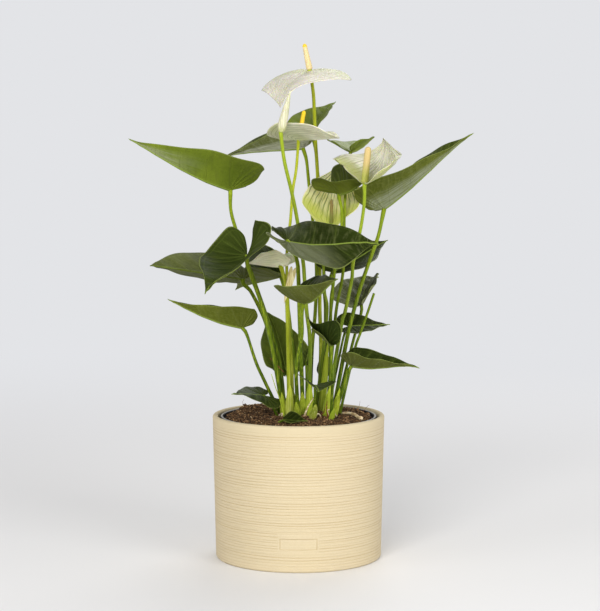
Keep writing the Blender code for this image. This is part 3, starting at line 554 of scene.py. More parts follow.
def soilRelief(x, y):
    # clods of three sizes: value noise folded about its middle, so that ridges are soft and gaps are sharp;
    # the ground is smoother along the root
    large, middle = (1 - np.abs(2 * smoothNoise(x * scale, y * scale, seed) - 1)
                     for scale, seed in ((0.16, 1), (0.42, 2)))
    rough = 1.1 * large + 1.2 * middle + 0.8 * smoothNoise(x * 1.15, y * 1.15, 3) - 1.6
    return rough * np.clip((offRoot(x, y) - 1.0) / 4.0, 0.1, 1.0)


def makeSoil(look):
    # rings of height = soil + clods, lower at the edge, and then three rings down the inside of the pot
    reach = look["radius"] * np.linspace(0.01, 1.0, look["rings"])[:, None] ** 0.9
    angle = wholeTurn(look["sides"])
    x, y = reach * np.cos(angle), reach * np.sin(angle)
    edge = held((look["radius"] - reach) / 3.0)
    z = soilHeight(x, y) + look["clod"] * soilRelief(x, y) * (0.4 + 0.6 * edge) - 1.2 * (1 - edge)
    top = joined(x, y, z)
    share = np.array([0.05, 0.5, 1.0])[:, None]
    down = around(look["radius"] + (look["bottom"] - look["radius"]) * share, angle,
                  look["edge"] + (look["low"] - look["edge"]) * share)
    earth = Finish("peat", 0.95, 0.2)
    grain = earth.noise(420, 4.0)
    earth.paint((0.03, 0.016, 0.007), (earth.ramp(grain, 0.35, 0.7), (0.165, 0.088, 0.036)),
                (earth.ramp(earth.noise(1500, 2.0), 0.58, 0.75, 0.0, 0.7), (0.3, 0.18, 0.09)),
                (earth.ramp(earth.noise(60, 2.0), 0.45, 0.7, 0.0, 0.4), (0.05, 0.02, 0.01)))
    earth.relief(earth.less(grain, earth.times(earth.cells(520), 0.6)), 0.8, 0.0012)
    newPiece("pottingSoil", *ringSurface(np.vstack([top, down]), top[0].mean(0), (0, 0, look["low"])),
             "potting_soil", ["soil"], [earth.material])


def looseBits(count, sizes, seed, spread):
    # a twelve-cornered lump for each draw: a ball's corners moved in and out, squashed and turned
    rng = np.random.default_rng(seed)
    rings = [around(np.sqrt(1 - h * h), wholeTurn(5) + turn, h) for turn, h in ((0, -1 / 3), (0.6, 1 / 3))]
    corners, faces = ringSurface(np.array(rings), (0, 0, -1), (0, 0, 1))
    order = np.r_[1:11, 0, 11]  # foot first, then the two rings, then the top
    ball = np.zeros((12, 3))
    ball[order] = corners
    each = (count, 1)
    radius = 62.5 * np.sqrt(rng.uniform(0, 1, each)) ** spread
    angle = rng.uniform(0, 2 * np.pi, each)
    x, y = radius * np.cos(angle), radius * np.sin(angle)
    size = rng.uniform(*sizes, each) * rng.uniform(0.6, 1.0, each)
    stretch = [rng.uniform(low, high, each) for low, high in ((0.8, 1.7), (0.6, 1.0), (0.385, 0.715))]
    rough = rng.uniform(0.72, 1.2, (count, 12))
    out, side, up = (ball[:, k] * rough * stretch[k] * size for k in range(3))
    spin, tip = rng.uniform(0, 2 * np.pi, each), rng.normal(0, 0.45, each)
    out, up = out * np.cos(tip) + up * np.sin(tip), up * np.cos(tip) - out * np.sin(tip)
    ground = soilHeight(x, y) + soilLook["clod"] * soilRelief(x, y) + 0.3 * size
    free = (offRoot(x, y) > 2.6 + size)[:, 0]
    points = joined(x + out * np.cos(spin) - side * np.sin(spin),
                    y + out * np.sin(spin) + side * np.cos(spin), ground + up)[free]
    base = np.arange(len(points))[:, None, None] * 12
    every = []
    for sort in (3, 4):
        every += list((base + order[np.array([f for f in faces if len(f) == sort])]).reshape(-1, sort))
    return points.reshape(-1, 3), every


def looseFibres(count, length, seed):
    # thin bent threads: a short arc on the soil, rising at both ends, as a four-sided tube
    rng = np.random.default_rng(seed)
    shapes = []
    for _ in range(count):
        r, a = 61 * np.sqrt(rng.uniform()), rng.uniform(0, 2 * np.pi)
        heading, bend, long = rng.uniform(0, 2 * np.pi), rng.normal(0, 0.9), rng.uniform(*length)
        t = np.linspace(-0.5, 0.5, 5)
        x = r * np.cos(a) + long * t * np.cos(heading + bend * t)
        y = r * np.sin(a) + long * t * np.sin(heading + bend * t)
        inside = np.minimum(1.0, 62.5 / np.maximum(np.hypot(x, y), 1e-6))
        x, y = x * inside, y * inside
        rise = 0.9 + rng.uniform(0, 1.6) * t * t * 4
        z = soilHeight(x, y) + soilLook["clod"] * soilRelief(x, y) * 0.7 + rise
        radii = rng.uniform(0.12, 0.3) * np.array([0.5, 1, 1, 0.9, 0.4])
        shapes.append(tubeSurface(joined(x, y, z), radii, 4, side=(0.1, 0.2, 1.0)))
    return merged(shapes)


def barkFinish(name, dark, light, scale=700, high=0.68, roughness=0.92, specular=0.2):
    # dark and light by noise of one scale
    bark = Finish(name, roughness, specular)
    bark.paint(dark, (bark.ramp(bark.noise(scale, 3.0), 0.35, high), light))
    return bark.material


makeSoil(soilLook)
for name, count, sizes, seed, spread, dark, light in crumbLooks:
    newPiece(name, *looseBits(count, sizes, seed, spread), "potting_soil",
             finishes=[barkFinish(name[:-1], dark, light)])
newPiece("peatFibres", *looseFibres(420, (3.0, 11.0), 14), "potting_soil",
         finishes=[barkFinish("peatFibre", (0.1, 0.045, 0.018), (0.3, 0.17, 0.08))])
print("soil made")

# Leaves
bladeLook = dict(rows=70, veins=11.0, above=0.26, below=0.26, midrib=0.85, groove=0.3, sink=0.14, lift=0.16)
acrossShares = (0, 0.018, 0.045, 0.085, 0.14, 0.21, 0.29, 0.38, 0.48, 0.58, 0.68, 0.78, 0.87, 0.94,
                0.98, 1.0)
edgeSteps = 14
veinLean, lobeEnd = 0.28, 0.26  # the side veins' lean to the tip; the lobes' end behind the stalk
behind, midribSteps = 0.6, 64  # the midrib's line runs on behind the stalk, for the lobes
stalkStep = round(behind / (1 + behind) * midribSteps)
weldGap = 0.004  # points nearer than this are one, in mm


def bladeSurface(shape, outline, rows, shares):
    # a point lies a share u along the midrib and q out from it; the midrib bends by droop and tip, the
    # halves fold up about it and curl, and the whole twists towards the tip
    length, width, lobes = shape["size"]
    droop, tip, lobe, twist = np.radians(shape["bend"])
    edge = curveThrough(outline, edgeSteps)[:-edgeSteps]
    at = np.linspace(0, len(edge) - 1, rows)
    edgeU, edgeQ = (np.interp(at, np.arange(len(edge)), edge[:, k])[:, None] for k in (0, 1))
    edgeU = np.where(edgeU < 0, edgeU * lobes, edgeU)
    u = held(edgeU - veinLean * edgeQ) * (1 - shares) + edgeU * shares
    q = edgeQ * shares
    run = np.linspace(-behind, 1.0, midribSteps + 1)
    slope = np.where(run > 0, droop * run + tip * run ** 3, -lobe * run / lobeEnd)

    def travelled(rate):
        # the rate summed along the midrib from the stalk
        way = np.r_[0, np.cumsum((rate[1:] + rate[:-1]) / 2 * (run[1] - run[0]))]
        return (np.interp(u, run, way) - way[stalkStep]) * length

    along, height, tilt = travelled(np.cos(slope)), -travelled(np.sin(slope)), np.interp(u, run, slope)
    halves = []
    for side, fold, curl in ((1, *shape["fold"][:2]), (-1, *shape["fold"][2:])):
        fold, curl = np.radians(fold), np.radians(curl if abs(curl) > 0.5 else 0.5)
        out = side * width * (np.sin(fold + curl * q) - np.sin(fold)) / curl
        rise = width * (np.cos(fold) - np.cos(fold + curl * q)) / curl
        turn = twist * u
        out, rise = out * np.cos(turn) - rise * np.sin(turn), out * np.sin(turn) + rise * np.cos(turn)
        halves.append(joined(along + rise * np.sin(tilt), out, height + rise * np.cos(tilt)))
    left, right = halves
    grid = np.hstack([left[:, ::-1], right[:, 1:]])
    share = np.broadcast_to(np.linspace(0, 1, rows)[:, None], grid.shape[:2])
    signed = np.broadcast_to(np.r_[shares[::-1], -shares[1:]], grid.shape[:2])
    return grid, share, signed, np.hstack([u[:, ::-1], u[:, 1:]]), np.hstack([q[:, ::-1], -q[:, 1:]])


def thinning(share, signed, steep, hem):
    # rises from nought at both ends by share * steep, and from the edge by the root of its distance / hem
    return held(np.minimum(share, 1 - share) * steep), held((1 - np.abs(signed)) / hem) ** 0.5


def placeBlade(points, shape):
    # rolled, pitched and turned to its heading, and carried to the top of the stem
    heading, pitch, roll = np.radians(shape["turn"])
    turned = (Matrix.Rotation(heading, 3, "Z") @ Matrix.Rotation(-pitch, 3, "Y")
              @ Matrix.Rotation(roll, 3, "X"))
    return points @ np.array(turned).T + np.array(shape["stem"][0], float)


def bladePiece(name, shape, surface, above, below, veinGrid, slot, node, finishes):
    # the two faces of a blade where the shape says, with the maps that its finishes read
    grid, _, _, flatU, flatQ = surface
    length, width, _ = shape["size"]
    points, faces, face, pick = closedSheet(grid, above, below)
    maps = {"veinGrid": joined(*veinGrid).reshape(-1, 3)[pick],
            "flatGrid": joined(flatU * length, flatQ * width, 0.0).reshape(-1, 3)[pick]}
    newPiece(name, placeBlade(points, shape), faces, slot, [node], finishes,
             face if len(finishes) > 1 else None, maps, weldGap)


def stalkRoundness(run, angle):
    # slightly flattened on the inner side, with faint ribs
    return 1 - 0.05 * np.cos(angle) ** 2 + 0.02 * np.cos(5 * angle + 3 * run)


def stalkPiece(name, line, radii, sides, slot, node, finish):
    # circles along the stem's line, made rounder or flatter by stalkRoundness
    newPiece(name, *tubeSurface(line, radii, sides, roundness=stalkRoundness), slot, [node], [finish])


def stalkFinish(name, top, low, pale, fade=(0.13, 0.34)):
    # one green low down and a yellower one higher (between two heights in m), with fine lengthwise streaks
    skin = Finish(name, 0.4, 0.16)
    skin.put("Specular Tint", (0.8, 1.0, 0.3))
    streak = skin.noise(1.0, 3.0, stretch=(900, 900, 35))
    patch = skin.times(skin.less(skin.noise(45, 2.0), 0.5), 0.12)
    skin.paint(low, (skin.ramp(skin.plus(skin.axes()[2], patch), *fade), top),
               (skin.ramp(streak, 0.45, 0.72, 0.0, 0.5), pale))
    skin.relief(streak, 0.4, 0.0003)
    return skin.material


def leafFinishes(name, look):
    # upper face: two greens in soft clouds, pale veins on the grid's rows; under face: greyer, raised veins
    made = []
    for face, gloss, specular, veinLift, keys in (
            ("Upper", look["gloss"], look["specular"], -0.6,
             ("dark", "light", "fleck", "vein", "veinShow", "streakTone", "streak")),
            ("Under", 0.55, 0.04, 0.7,
             ("underDark", "underLight", "underLight", "underVein", "underShow", "underVein",
              "underStreak"))):
        dark, light, fleck, vein, veinShow, streakTone, streakShow = (look[key] for key in keys)
        skin = Finish(name + face, gloss, specular)
        skin.put("Specular Tint", look["glint"])
        veins, share, spacing = skin.axes("veinGrid")
        along, out, _ = skin.axes("flatGrid")
        side = skin.size(share)
        mottle = skin.noise(420, 2.0)
        streak = skin.noise(1.9, 4.0, skin.joined(skin.times(veins, 4.0), skin.times(share, 7.0)))
        pleat = skin.noise(1.3, 3.0, skin.joined(skin.times(veins, 5.0), skin.times(share, 1.6)))
        sheenStreaks = skin.noise(1.0, 3.0, skin.joined(skin.times(share, 26.0), skin.times(along, 0.035)))
        offVein = skin.times(skin.size(skin.less(skin.math("FRACT", veins), 0.5)), spacing)
        reach = skin.ramp(side, 0.7, 0.95, 1.0, 0.15)
        line = skin.times(skin.ramp(offVein, 0.12, 0.5, 1.0, 0.0), reach)
        halo = skin.times(skin.ramp(offVein, 0.3, 2.2, 0.35, 0.0), reach)
        ring = skin.ramp(skin.size(skin.less(side, 0.88)), 0.004, 0.02, 0.5, 0.0)
        pale = skin.math("MAXIMUM", skin.math("MAXIMUM", line, halo), ring)
        # painted reflection: a pale streaked band on one half of the blade, fading along the midrib and out
        # from it, stands in for light reflected by the glossy leaf
        left, right = look["paintedSheen"]
        paintedSheen = skin.ramp(skin.ramp(share, -0.05, 0.05), 0.0, 1.0, right, left)
        paintedSheen = skin.times(paintedSheen, skin.ramp(along, *look["paintedSheenRun"], 1.0, 0.0))
        paintedSheen = skin.times(paintedSheen, skin.ramp(side, *look["paintedSheenSide"], 1.0, 0.0))
        paintedSheen = skin.times(paintedSheen, skin.ramp(sheenStreaks, 0.36, 0.6, look["sheenStreakLow"], 1.0))
        skin.paint(dark, (skin.ramp(skin.noise(38, 3.0), 0.32, 0.7), light),
                   (skin.ramp(mottle, 0.35, 0.75, 0.0, 0.3), fleck),
                   (skin.times(pale, veinShow), vein),
                   (skin.ramp(streak, 0.42, 0.7, 0.0, streakShow), streakTone),
                   (paintedSheen, look["paintedSheenTone"]),
                   (skin.ramp(pleat, 0.45, 0.68, 0.0, look["pleat"]), look["pleatTone"]),
                   (skin.ramp(skin.size(out), 0.35, 1.1, look["ribShow"], 0.0), look["ribTone"]),
                   (skin.ramp(side, 0.962, 0.985, 0.0, look["hem"]), look["hemTone"]))
        relief = skin.plus(skin.times(streak, 0.6), skin.times(mottle, 0.12))
        relief = skin.plus(relief, skin.times(pleat, 0.35))
        skin.relief(skin.plus(relief, skin.times(line, veinLift)), look["bump"], 0.0007)
        made.append(skin.material)
    return made


# puff and wave: heights in mm; the sheen entries are a painted reflection: its share on the left and right
# half, from where to where it fades along the midrib (the run, in mm) and out from it (the side, in shares
# of the half width), and its least share between its streaks
deepGreen = dict(gloss=0.38, specular=0.1, dark=(0.01, 0.016, 0.002), light=(0.021, 0.032, 0.005),
    fleck=(0.03, 0.043, 0.008), underDark=(0.075, 0.09, 0.014), underLight=(0.115, 0.132, 0.024),
    vein=(0.19, 0.25, 0.045), underVein=(0.185, 0.205, 0.08), veinShow=0.22, underShow=0.4, streak=0.12,
    underStreak=0.4, streakTone=(0.05, 0.065, 0.02), ribShow=0.8, ribTone=(0.22, 0.29, 0.05), hem=0.8,
    hemTone=(0.19, 0.225, 0.055), bump=0.6, paintedSheen=(0.0, 0.0), paintedSheenTone=(0.165, 0.18, 0.09),
    paintedSheenRun=(300.0, 400.0), paintedSheenSide=(2.0, 3.0), sheenStreakLow=0.3, glint=(0.75, 1.0, 0.12), pleat=0.2,
    pleatTone=(0.07, 0.085, 0.018), puff=0.22, wave=0.5)
freshGreen = dict(deepGreen, dark=(0.072, 0.108, 0.012), light=(0.125, 0.17, 0.018),
    fleck=(0.14, 0.17, 0.02), underDark=(0.1, 0.14, 0.012), underLight=(0.145, 0.19, 0.018),
    vein=(0.17, 0.22, 0.03), underVein=(0.16, 0.2, 0.025), underShow=0.25, underStreak=0.18)
mossGreen = dict(deepGreen, dark=(0.033, 0.047, 0.006), light=(0.058, 0.075, 0.01),
    fleck=(0.072, 0.092, 0.014), underDark=(0.072, 0.09, 0.009), underLight=(0.108, 0.128, 0.014),
    underVein=(0.175, 0.195, 0.045), underStreak=0.35, pleatTone=(0.17, 0.19, 0.05))
greyGreen = dict(deepGreen, dark=(0.04, 0.05, 0.017), light=(0.08, 0.092, 0.036), streak=0.55,
    streakTone=(0.21, 0.225, 0.13), underDark=(0.13, 0.15, 0.05), underLight=(0.2, 0.215, 0.09),
    underVein=(0.32, 0.33, 0.19), underStreak=0.6, pleat=0.6, pleatTone=(0.27, 0.285, 0.19))
youngGreen = dict(freshGreen, dark=(0.15, 0.2, 0.026), light=(0.22, 0.28, 0.042),
    underDark=(0.13, 0.175, 0.018), underLight=(0.19, 0.24, 0.028))
leafLooks = {
    "leaf_01": dict(freshGreen, paintedSheen=(0.85, 0.85), paintedSheenTone=(0.27, 0.29, 0.17), paintedSheenRun=(90.0, 30.0),
        paintedSheenSide=(0.3, 0.85), veinShow=0.4, wave=0.8),
    "leaf_02": dict(greyGreen, underDark=(0.085, 0.1, 0.025), underLight=(0.13, 0.15, 0.04), streak=0.3,
        underStreak=0.3, pleat=0.2, paintedSheen=(0.85, 0.85), paintedSheenTone=(0.42, 0.43, 0.33), paintedSheenSide=(0.35, 0.6),
        puff=0.4),
    "leaf_03": youngGreen,
    # painted light: this leaf's underside tones are raised to stand in for light shining through it
    "leaf_04": dict(youngGreen, underDark=(0.26, 0.34, 0.04), underLight=(0.36, 0.44, 0.06)),
    "leaf_05": dict(mossGreen, paintedSheen=(0.0, 0.95), paintedSheenTone=(0.26, 0.285, 0.18), paintedSheenSide=(0.3, 0.62),
        pleat=0.3, wave=0.9),
    "leaf_06": dict(mossGreen, underDark=(0.085, 0.115, 0.01), underLight=(0.135, 0.165, 0.018)),
    "leaf_07": dict(deepGreen, specular=0.01, dark=(0.024, 0.037, 0.005), light=(0.042, 0.06, 0.009),
        vein=(0.22, 0.3, 0.05), veinShow=0.24, pleat=0.4, puff=0.5, wave=0.8),
    "leaf_08": dict(mossGreen, specular=0.04, dark=(0.026, 0.037, 0.005), light=(0.046, 0.06, 0.008),
        underDark=(0.056, 0.07, 0.007), underLight=(0.084, 0.1, 0.011), ribShow=0.3, hem=0.4),
    "leaf_10": dict(deepGreen, paintedSheen=(0.0, 0.7), paintedSheenRun=(18.0, 48.0), sheenStreakLow=0.8, pleat=0.5,
        pleatTone=(0.085, 0.095, 0.035), puff=0.6, wave=1.0),
    "leaf_13": dict(greyGreen, specular=0.03, paintedSheen=(0.6, 0.3), paintedSheenTone=(0.22, 0.235, 0.12), puff=0.7,
        wave=0.9),
    "leaf_15": dict(deepGreen, specular=0.03, dark=(0.018, 0.032, 0.005), light=(0.034, 0.053, 0.009)),
    "leaf_16": dict(deepGreen, wave=0.8),
    "leaf_17": dict(mossGreen, dark=(0.075, 0.105, 0.012), light=(0.11, 0.145, 0.017)),
    "leaf_18": dict(mossGreen, specular=0.04)}


def makeLeaf(name, shape):
    # above = half thickness - sinks over the veins and midrib; below = half thickness + rises under them;
    # both faces move together by the puffs between the veins and by a wave along the edge
    length, width, _ = shape["size"]
    look, blade, small = leafLooks.get(name, deepGreen), bladeLook, length < 30
    rows = 34 if small else blade["rows"]
    surface = bladeSurface(shape, leafOutline, rows, np.unique((*acrossShares[::2 if small else 1], 1.0)))
    grid, share, signed, flatU, flatQ = surface
    side = np.abs(signed)
    beat = share * blade["veins"] + 0.35 * smoothNoise(share * 9, 0.0, len(name) + length)
    spacing = np.linalg.norm(np.gradient(grid, axis=0), axis=2) * (rows - 1) / blade["veins"]
    valley = (0.5 + 0.5 * np.cos(2 * np.pi * (beat - 0.5))) ** 3 * held(1.1 - side)
    ends, taper = thinning(share, signed, rows / 2.5, 0.05)
    rib = bell(flatQ * width / 0.75) * held(1.15 - flatU) * (0.5 if small else 1.0)
    above = (blade["above"] - blade["sink"] * valley - blade["groove"] * 0.5 * rib) * taper * ends
    below = (blade["below"] + blade["lift"] * valley + blade["midrib"] * rib) * taper * ends
    puff, wave = look["puff"] * (0.4 if small else 1.0), look["wave"] * (0.3 if small else 1.0)
    swell = puff * np.cos(2 * np.pi * beat) * np.sin(np.pi * side) ** 0.8
    ripple = wave * np.sin(share * 31 + signed * 1.3 + length) * side ** 3
    shift = (swell + ripple * held(ends * share * 6)) * ends
    bladePiece(name + "_blade", shape, surface, above + shift, below - shift, (beat, signed, spacing),
               "leaf_green", name, leafFinishes(name, look))
    line, radii, at = stemLine(shape)
    line[0] += unit(line[0] - line[1]) * 0.4
    radii = radii * (1 + 0.28 * bell(at / 9.0) - 0.06 * bell((at - 16) / 6.0))
    stalkPiece(name + "_stalk", line, radii, 12, "leaf_green", name, stalkGreen)


stalkGreen = stalkFinish("stalkGreen", (0.2, 0.265, 0.012), (0.055, 0.098, 0.006), (0.36, 0.43, 0.03))
flowerStalkGreen = stalkFinish("flowerStalkGreen", (0.25, 0.33, 0.02), (0.085, 0.135, 0.012),
                               (0.42, 0.48, 0.05))
brightStalk = stalkFinish("brightStalk", (0.38, 0.42, 0.02), (0.22, 0.26, 0.015), (0.56, 0.58, 0.1))
for leafName, leafShape in leafShapes.items():
    makeLeaf(leafName, leafShape)
print("leaves made:", len(leafShapes))

# Blooms
# spike: tone at the foot, tone at the tip, the shares of the length between which it changes
creamLook = dict(pale=(0.76, 0.71, 0.61), shade=(0.54, 0.51, 0.38), line=(0.38, 0.37, 0.23), lineShow=0.4,
    foot=(0.4, 0.48, 0.1), footShow=0.35, lines=26.0, ruffle=0.25, wave=0.8, nerves=16.0, nerveWide=0.12,
    nerveShow=0.3, crease=0.0007, stalk=brightStalk, slot="spathe_cream",
    spike=((0.74, 0.59, 0.3), (0.88, 0.56, 0.03), 0.84, 0.9), spikeSlot="spadix_cream")
bloomLooks = {
    "bloom_1": creamLook,
    "bloom_2": dict(creamLook, pale=(0.88, 0.85, 0.66), shade=(0.56, 0.53, 0.36), line=(0.27, 0.27, 0.13),
        lineShow=0.5, nerveWide=0.14, nerveShow=0.8, spikeSlot="spadix_yellow",
        spike=((0.85, 0.58, 0.03), (0.9, 0.6, 0.02), 0.15, 0.75)),
    "bloom_3": dict(creamLook, pale=(0.78, 0.76, 0.62), shade=(0.48, 0.47, 0.29), line=(0.27, 0.28, 0.12),
        lineShow=0.6, foot=(0.42, 0.45, 0.08), footShow=0.7, ruffle=0.6, wave=1.2, lines=20.0, nerves=24.0,
        nerveWide=0.09, nerveShow=0.7, crease=0.0016, stalk=flowerStalkGreen,
        spike=((0.44, 0.45, 0.09), (0.64, 0.48, 0.2), 0.15, 0.65), spikeSlot="spadix_yellow"),
    "bloom_4": dict(creamLook, pale=(0.99, 0.94, 0.6), shade=(0.78, 0.74, 0.28), line=(0.15, 0.22, 0.02),
        lineShow=0.55, foot=(0.47, 0.51, 0.05), footShow=0.78, lines=16.0, ruffle=0.5, nerves=13.0,
        nerveWide=0.15, nerveShow=0.9, stalk=flowerStalkGreen, slot="spathe_green",
        spike=((0.24, 0.26, 0.06), (0.3, 0.22, 0.07), 0.15, 0.75)),
    "bloom_5": dict(creamLook, pale=(0.97, 0.94, 0.7), shade=(0.9, 0.86, 0.58), line=(0.5, 0.5, 0.26),
        ruffle=0.6, wave=1.3, footShow=0.1, nerves=14.0, nerveShow=0.5,
        spike=((0.5, 0.52, 0.12), (0.72, 0.62, 0.2), 0.15, 0.75))}
spatheShares = (0, 0.03, 0.07, 0.12, 0.18, 0.25, 0.32, 0.4, 0.48, 0.56, 0.64, 0.72, 0.79, 0.86, 0.92, 0.965,
                1.0)


def spatheFinish(name, look):
    # shade and pale in soft clouds; over them fine lines, wandering nerves, a green foot and a pale edge
    skin = Finish(name, 0.5, 0.4, soft=0.25)
    _, side, _ = skin.axes("veinGrid")
    along, _, _ = skin.axes("flatGrid")
    bars = skin.joined(skin.times(side, look["lines"]), skin.times(along, 0.03))
    streak, fine = skin.noise(1.0, 3.0, bars), skin.noise(2.3, 2.0, bars)
    beat = skin.plus(skin.times(side, look["nerves"] * 0.5), skin.times(skin.noise(70, 2.0), 0.9))
    beat = skin.size(skin.less(skin.math("FRACT", beat), 0.5))
    nerve = skin.ramp(beat, 0.02, look["nerveWide"], 1.0, 0.0)
    skin.paint(look["shade"], (skin.ramp(skin.noise(60, 3.0), 0.3, 0.72), look["pale"]),
               (skin.ramp(streak, 0.5, 0.64, 0.0, look["lineShow"]), look["line"]),
               (skin.ramp(fine, 0.48, 0.66, 0.0, 0.5), look["pale"]),
               (skin.ramp(fine, 0.3, 0.46, 0.45 * look["lineShow"], 0.0), look["line"]),
               (skin.times(nerve, look["nerveShow"]), look["line"]),
               (skin.ramp(skin.size(along), 1.0, 22.0, look["footShow"], 0.0), look["foot"]),
               (skin.ramp(skin.size(side), 0.965, 0.99, 0.0, 0.7), look["pale"]))
    crease = skin.less(skin.plus(streak, skin.times(fine, 0.6)), skin.times(nerve, 0.4))
    skin.relief(crease, 0.6, look["crease"])
    return skin.material


def spikeFinish(name, low, high, start, end):
    # one tone at the foot and one at the tip, darker at the middle of each small cell
    skin = Finish(name, 0.6, 0.3, soft=0.15)
    grain = skin.cells(1500)
    skin.paint(low, (skin.ramp(skin.axes("spikeRun")[0], start, end), high),
               (skin.ramp(grain, 0.0, 0.5, 0.35, 0.0), tuple(0.62 * c for c in low)))
    skin.relief(grain, 0.5, 0.0004)
    return skin.material


spirals = (13, 8)  # knobs round the spike in its two families


def makeSpike(name, foot, tip, thick, tones, slot, sides=40):
    # radius = taper * (1 + small knobs where two families of spirals cross), round a straight axis
    run = np.r_[0, 0.01, np.linspace(0.03, 0.9, 110), np.linspace(0.91, 1.0, 14)]
    radii = (thick[0] + (thick[1] - thick[0]) * run) * held(0.78 + run * 6)
    radii = radii * np.sqrt(np.clip(1 - ((run - 0.9) / 0.105).clip(0) ** 2, 0.01, 1))
    left, right = spirals
    turns = np.linalg.norm(tip - foot) / (2 * np.pi * thick[0]) * left

    def knobs(at, angle):
        return 1 + 0.05 * np.cos(left * angle + turns * at * 3.1) * np.cos(right * angle - turns * at * 5.2)

    points, faces = tubeSurface(foot + (tip - foot) * run[:, None], radii, sides, roundness=knobs)
    share = np.r_[np.repeat(run, sides), 0, 1]
    newPiece(name, points, faces, slot, [name], [spikeFinish(name + "Skin", *tones)],
             maps={"spikeRun": joined(share, share, share)})


def makeBloom(name, shape):
    # both faces = half thickness, the under one with a rise along its nerve; they move together by soft
    # folds and by a wave along the edge
    look, rows = bloomLooks[name], 64
    length, width, _ = shape["size"]
    surface = bladeSurface(shape, spatheOutline, rows, np.array(spatheShares))
    _, share, signed, flatU, flatQ = surface
    ends, taper = thinning(share, signed, rows / 2.5, 0.05)
    fold = smoothNoise(signed * look["lines"] * 0.5 + 3, flatU * 3, length) - 0.5
    edge = np.sin(share * 24 + signed + length) * np.abs(signed) ** 3 * look["wave"]
    shift = (look["ruffle"] * 1.6 * fold + edge * held(share * 5)) * ends
    nerve = bell(flatQ * width / 0.8) * held(1.1 - flatU)
    bladePiece(name + "_bract", shape, surface, 0.3 * taper * ends + shift,
               (0.3 + 0.45 * nerve) * taper * ends - shift, (share, signed, share), look["slot"],
               name + "_spathe", [spatheFinish(name + "Bract", look)])
    line, radii, at = stemLine(shape)
    tip = np.array(shape["spadix"], float)
    up = unit(tip - line[0])
    line, at = np.vstack([line[0] + up * 1.8, line]), np.r_[0, at + 1.8]
    radii = np.r_[radii[0], radii] * (1 + 0.35 * bell(at / 6.0))
    stalkPiece(name + "_stalk", line, radii, 14, "stem_green", name + "_stem", look["stalk"])
    makeSpike(name + "_spadix", line[0] - up * 0.6, tip - up * 0.4, shape["thick"], look["spike"],
              look["spikeSlot"])


for bloomName, bloomShape in bloomShapes.items():
    makeBloom(bloomName, bloomShape)
print("blooms made:", len(bloomShapes))

# Bud, cut stem, root and dry bract
budLook = dict(tip=(-7, -37, 404), radius=(1.5, 1.9), run=(0.0, 0.03, 0.15, 0.4, 0.7, 0.93, 1.0),
    girth=(1.6, 3.0, 3.9, 3.4, 2.2, 1.0, 0.45),
    stem=((-15, -36, 370), (-12, -32, 346), (-6, -21, 320), (-1, -6, 294), (4, -3, 258), (5, -3, 246),
          (7, -3, 216), (10, -5, 186), (9, -6, 123)))
cutStemLook = dict(radius=(1.1, 1.3),
    stem=((66, 8, 230), (59, 7, 209), (54, 6, 195), (50, 6, 184), (44, 5, 159), (36, 4, 123)))
dryBractLook = dict(size=(30, 4, 0.6), stem=((-5, -15, 251),), turn=(180, -75, 90), bend=(10, -20, 0, 0),
    fold=(5, 55, 5, 55))


def makeBud(look):
    # a spear from the stem's top to the tip, its girth read from a short list and smoothed over seven steps
    line, radii, at = stemLine(look)
    stalkPiece("budStalk", line, radii * (1 + 0.2 * bell(at / 5.0)), 14, "stem_green", "bud_stem",
               flowerStalkGreen)
    way = np.array(look["tip"], float) - line[0]
    run = np.linspace(0, 1, 60)
    girth = np.pad(np.interp(run, look["run"], look["girth"]), 3, mode="edge")
    girth = np.convolve(girth, np.ones(7) / 7, mode="valid")

    def rolled(at, angle):
        # the sheet's free edge winds once round the bud: radius steps up behind it and eases back
        wound = np.mod(angle / (2 * np.pi) - 0.55 * at + 0.35, 1.0)
        return 0.93 + 0.13 * (1 - wound) ** 0.6 - 0.1 * bell(wound / 0.03)

    skin = Finish("budCream", 0.5, 0.4, soft=0.2)
    streak = skin.noise(1.0, 3.0, stretch=(1100, 1100, 40))
    skin.paint((0.5, 0.49, 0.3), (skin.ramp(streak, 0.4, 0.7), (0.7, 0.66, 0.49)),
               (skin.ramp(skin.axes()[2], 0.369, 0.378, 0.6, 0.0), (0.42, 0.45, 0.1)))
    skin.relief(streak, 0.5, 0.0005)
    axis = line[0] + way * run[:, None] + unit(way) * 0.2
    newPiece("rolledBud", *tubeSurface(axis, girth, 36, roundness=rolled), "spathe_cream", ["bud_spathe"],
             [skin.material])


def makeRoot(look):
    # a tube that lies on the soil along the root's path
    path = rootPath(10)
    radii = np.linspace(*look["radius"], len(path))
    path[:, 2] = soilHeight(path[:, 0], path[:, 1]) + radii + 0.6
    newPiece("softRoot", *tubeSurface(path, radii, 12, side=(0.0, 0.0, 1.0)), "pale_root", ["aerial_root"],
             [barkFinish("paleRoot", (0.42, 0.27, 0.12), (0.8, 0.66, 0.42), 300, 0.7, 0.75, 0.3)])


def makeDryBract(shape):
    # a thin sheet moved by value noise, so that it crumples
    grid, share, signed, flatU, _ = bladeSurface(shape, spatheOutline, 40, np.linspace(0, 1, 9))
    ends = np.prod(thinning(share, signed, 14, 0.1), axis=0)
    crumple = 0.5 * (smoothNoise(signed * 5, flatU * 6, 5.0) - 0.5) * ends
    points, faces, _, _ = closedSheet(grid, 0.22 * ends + crumple, 0.22 * ends - crumple)
    skin = Finish("dryPaper", 0.8, 0.2)
    streak = skin.noise(1.0, 3.0, stretch=(700, 700, 60))
    skin.paint((0.45, 0.36, 0.13), (skin.ramp(streak, 0.35, 0.7), (0.74, 0.66, 0.36)))
    newPiece("dryBract", placeBlade(points, shape), faces, "dry_bract", ["bract"], [skin.material],
             weld=weldGap)


makeBud(budLook)
stalkPiece("cutStalk", *stemLine(cutStemLook)[:2], 12, "stem_green", "cut_stem", stalkGreen)
makeRoot(rootLook)
makeDryBract(dryBractLook)
print("bud, cut stem, root and bract made")

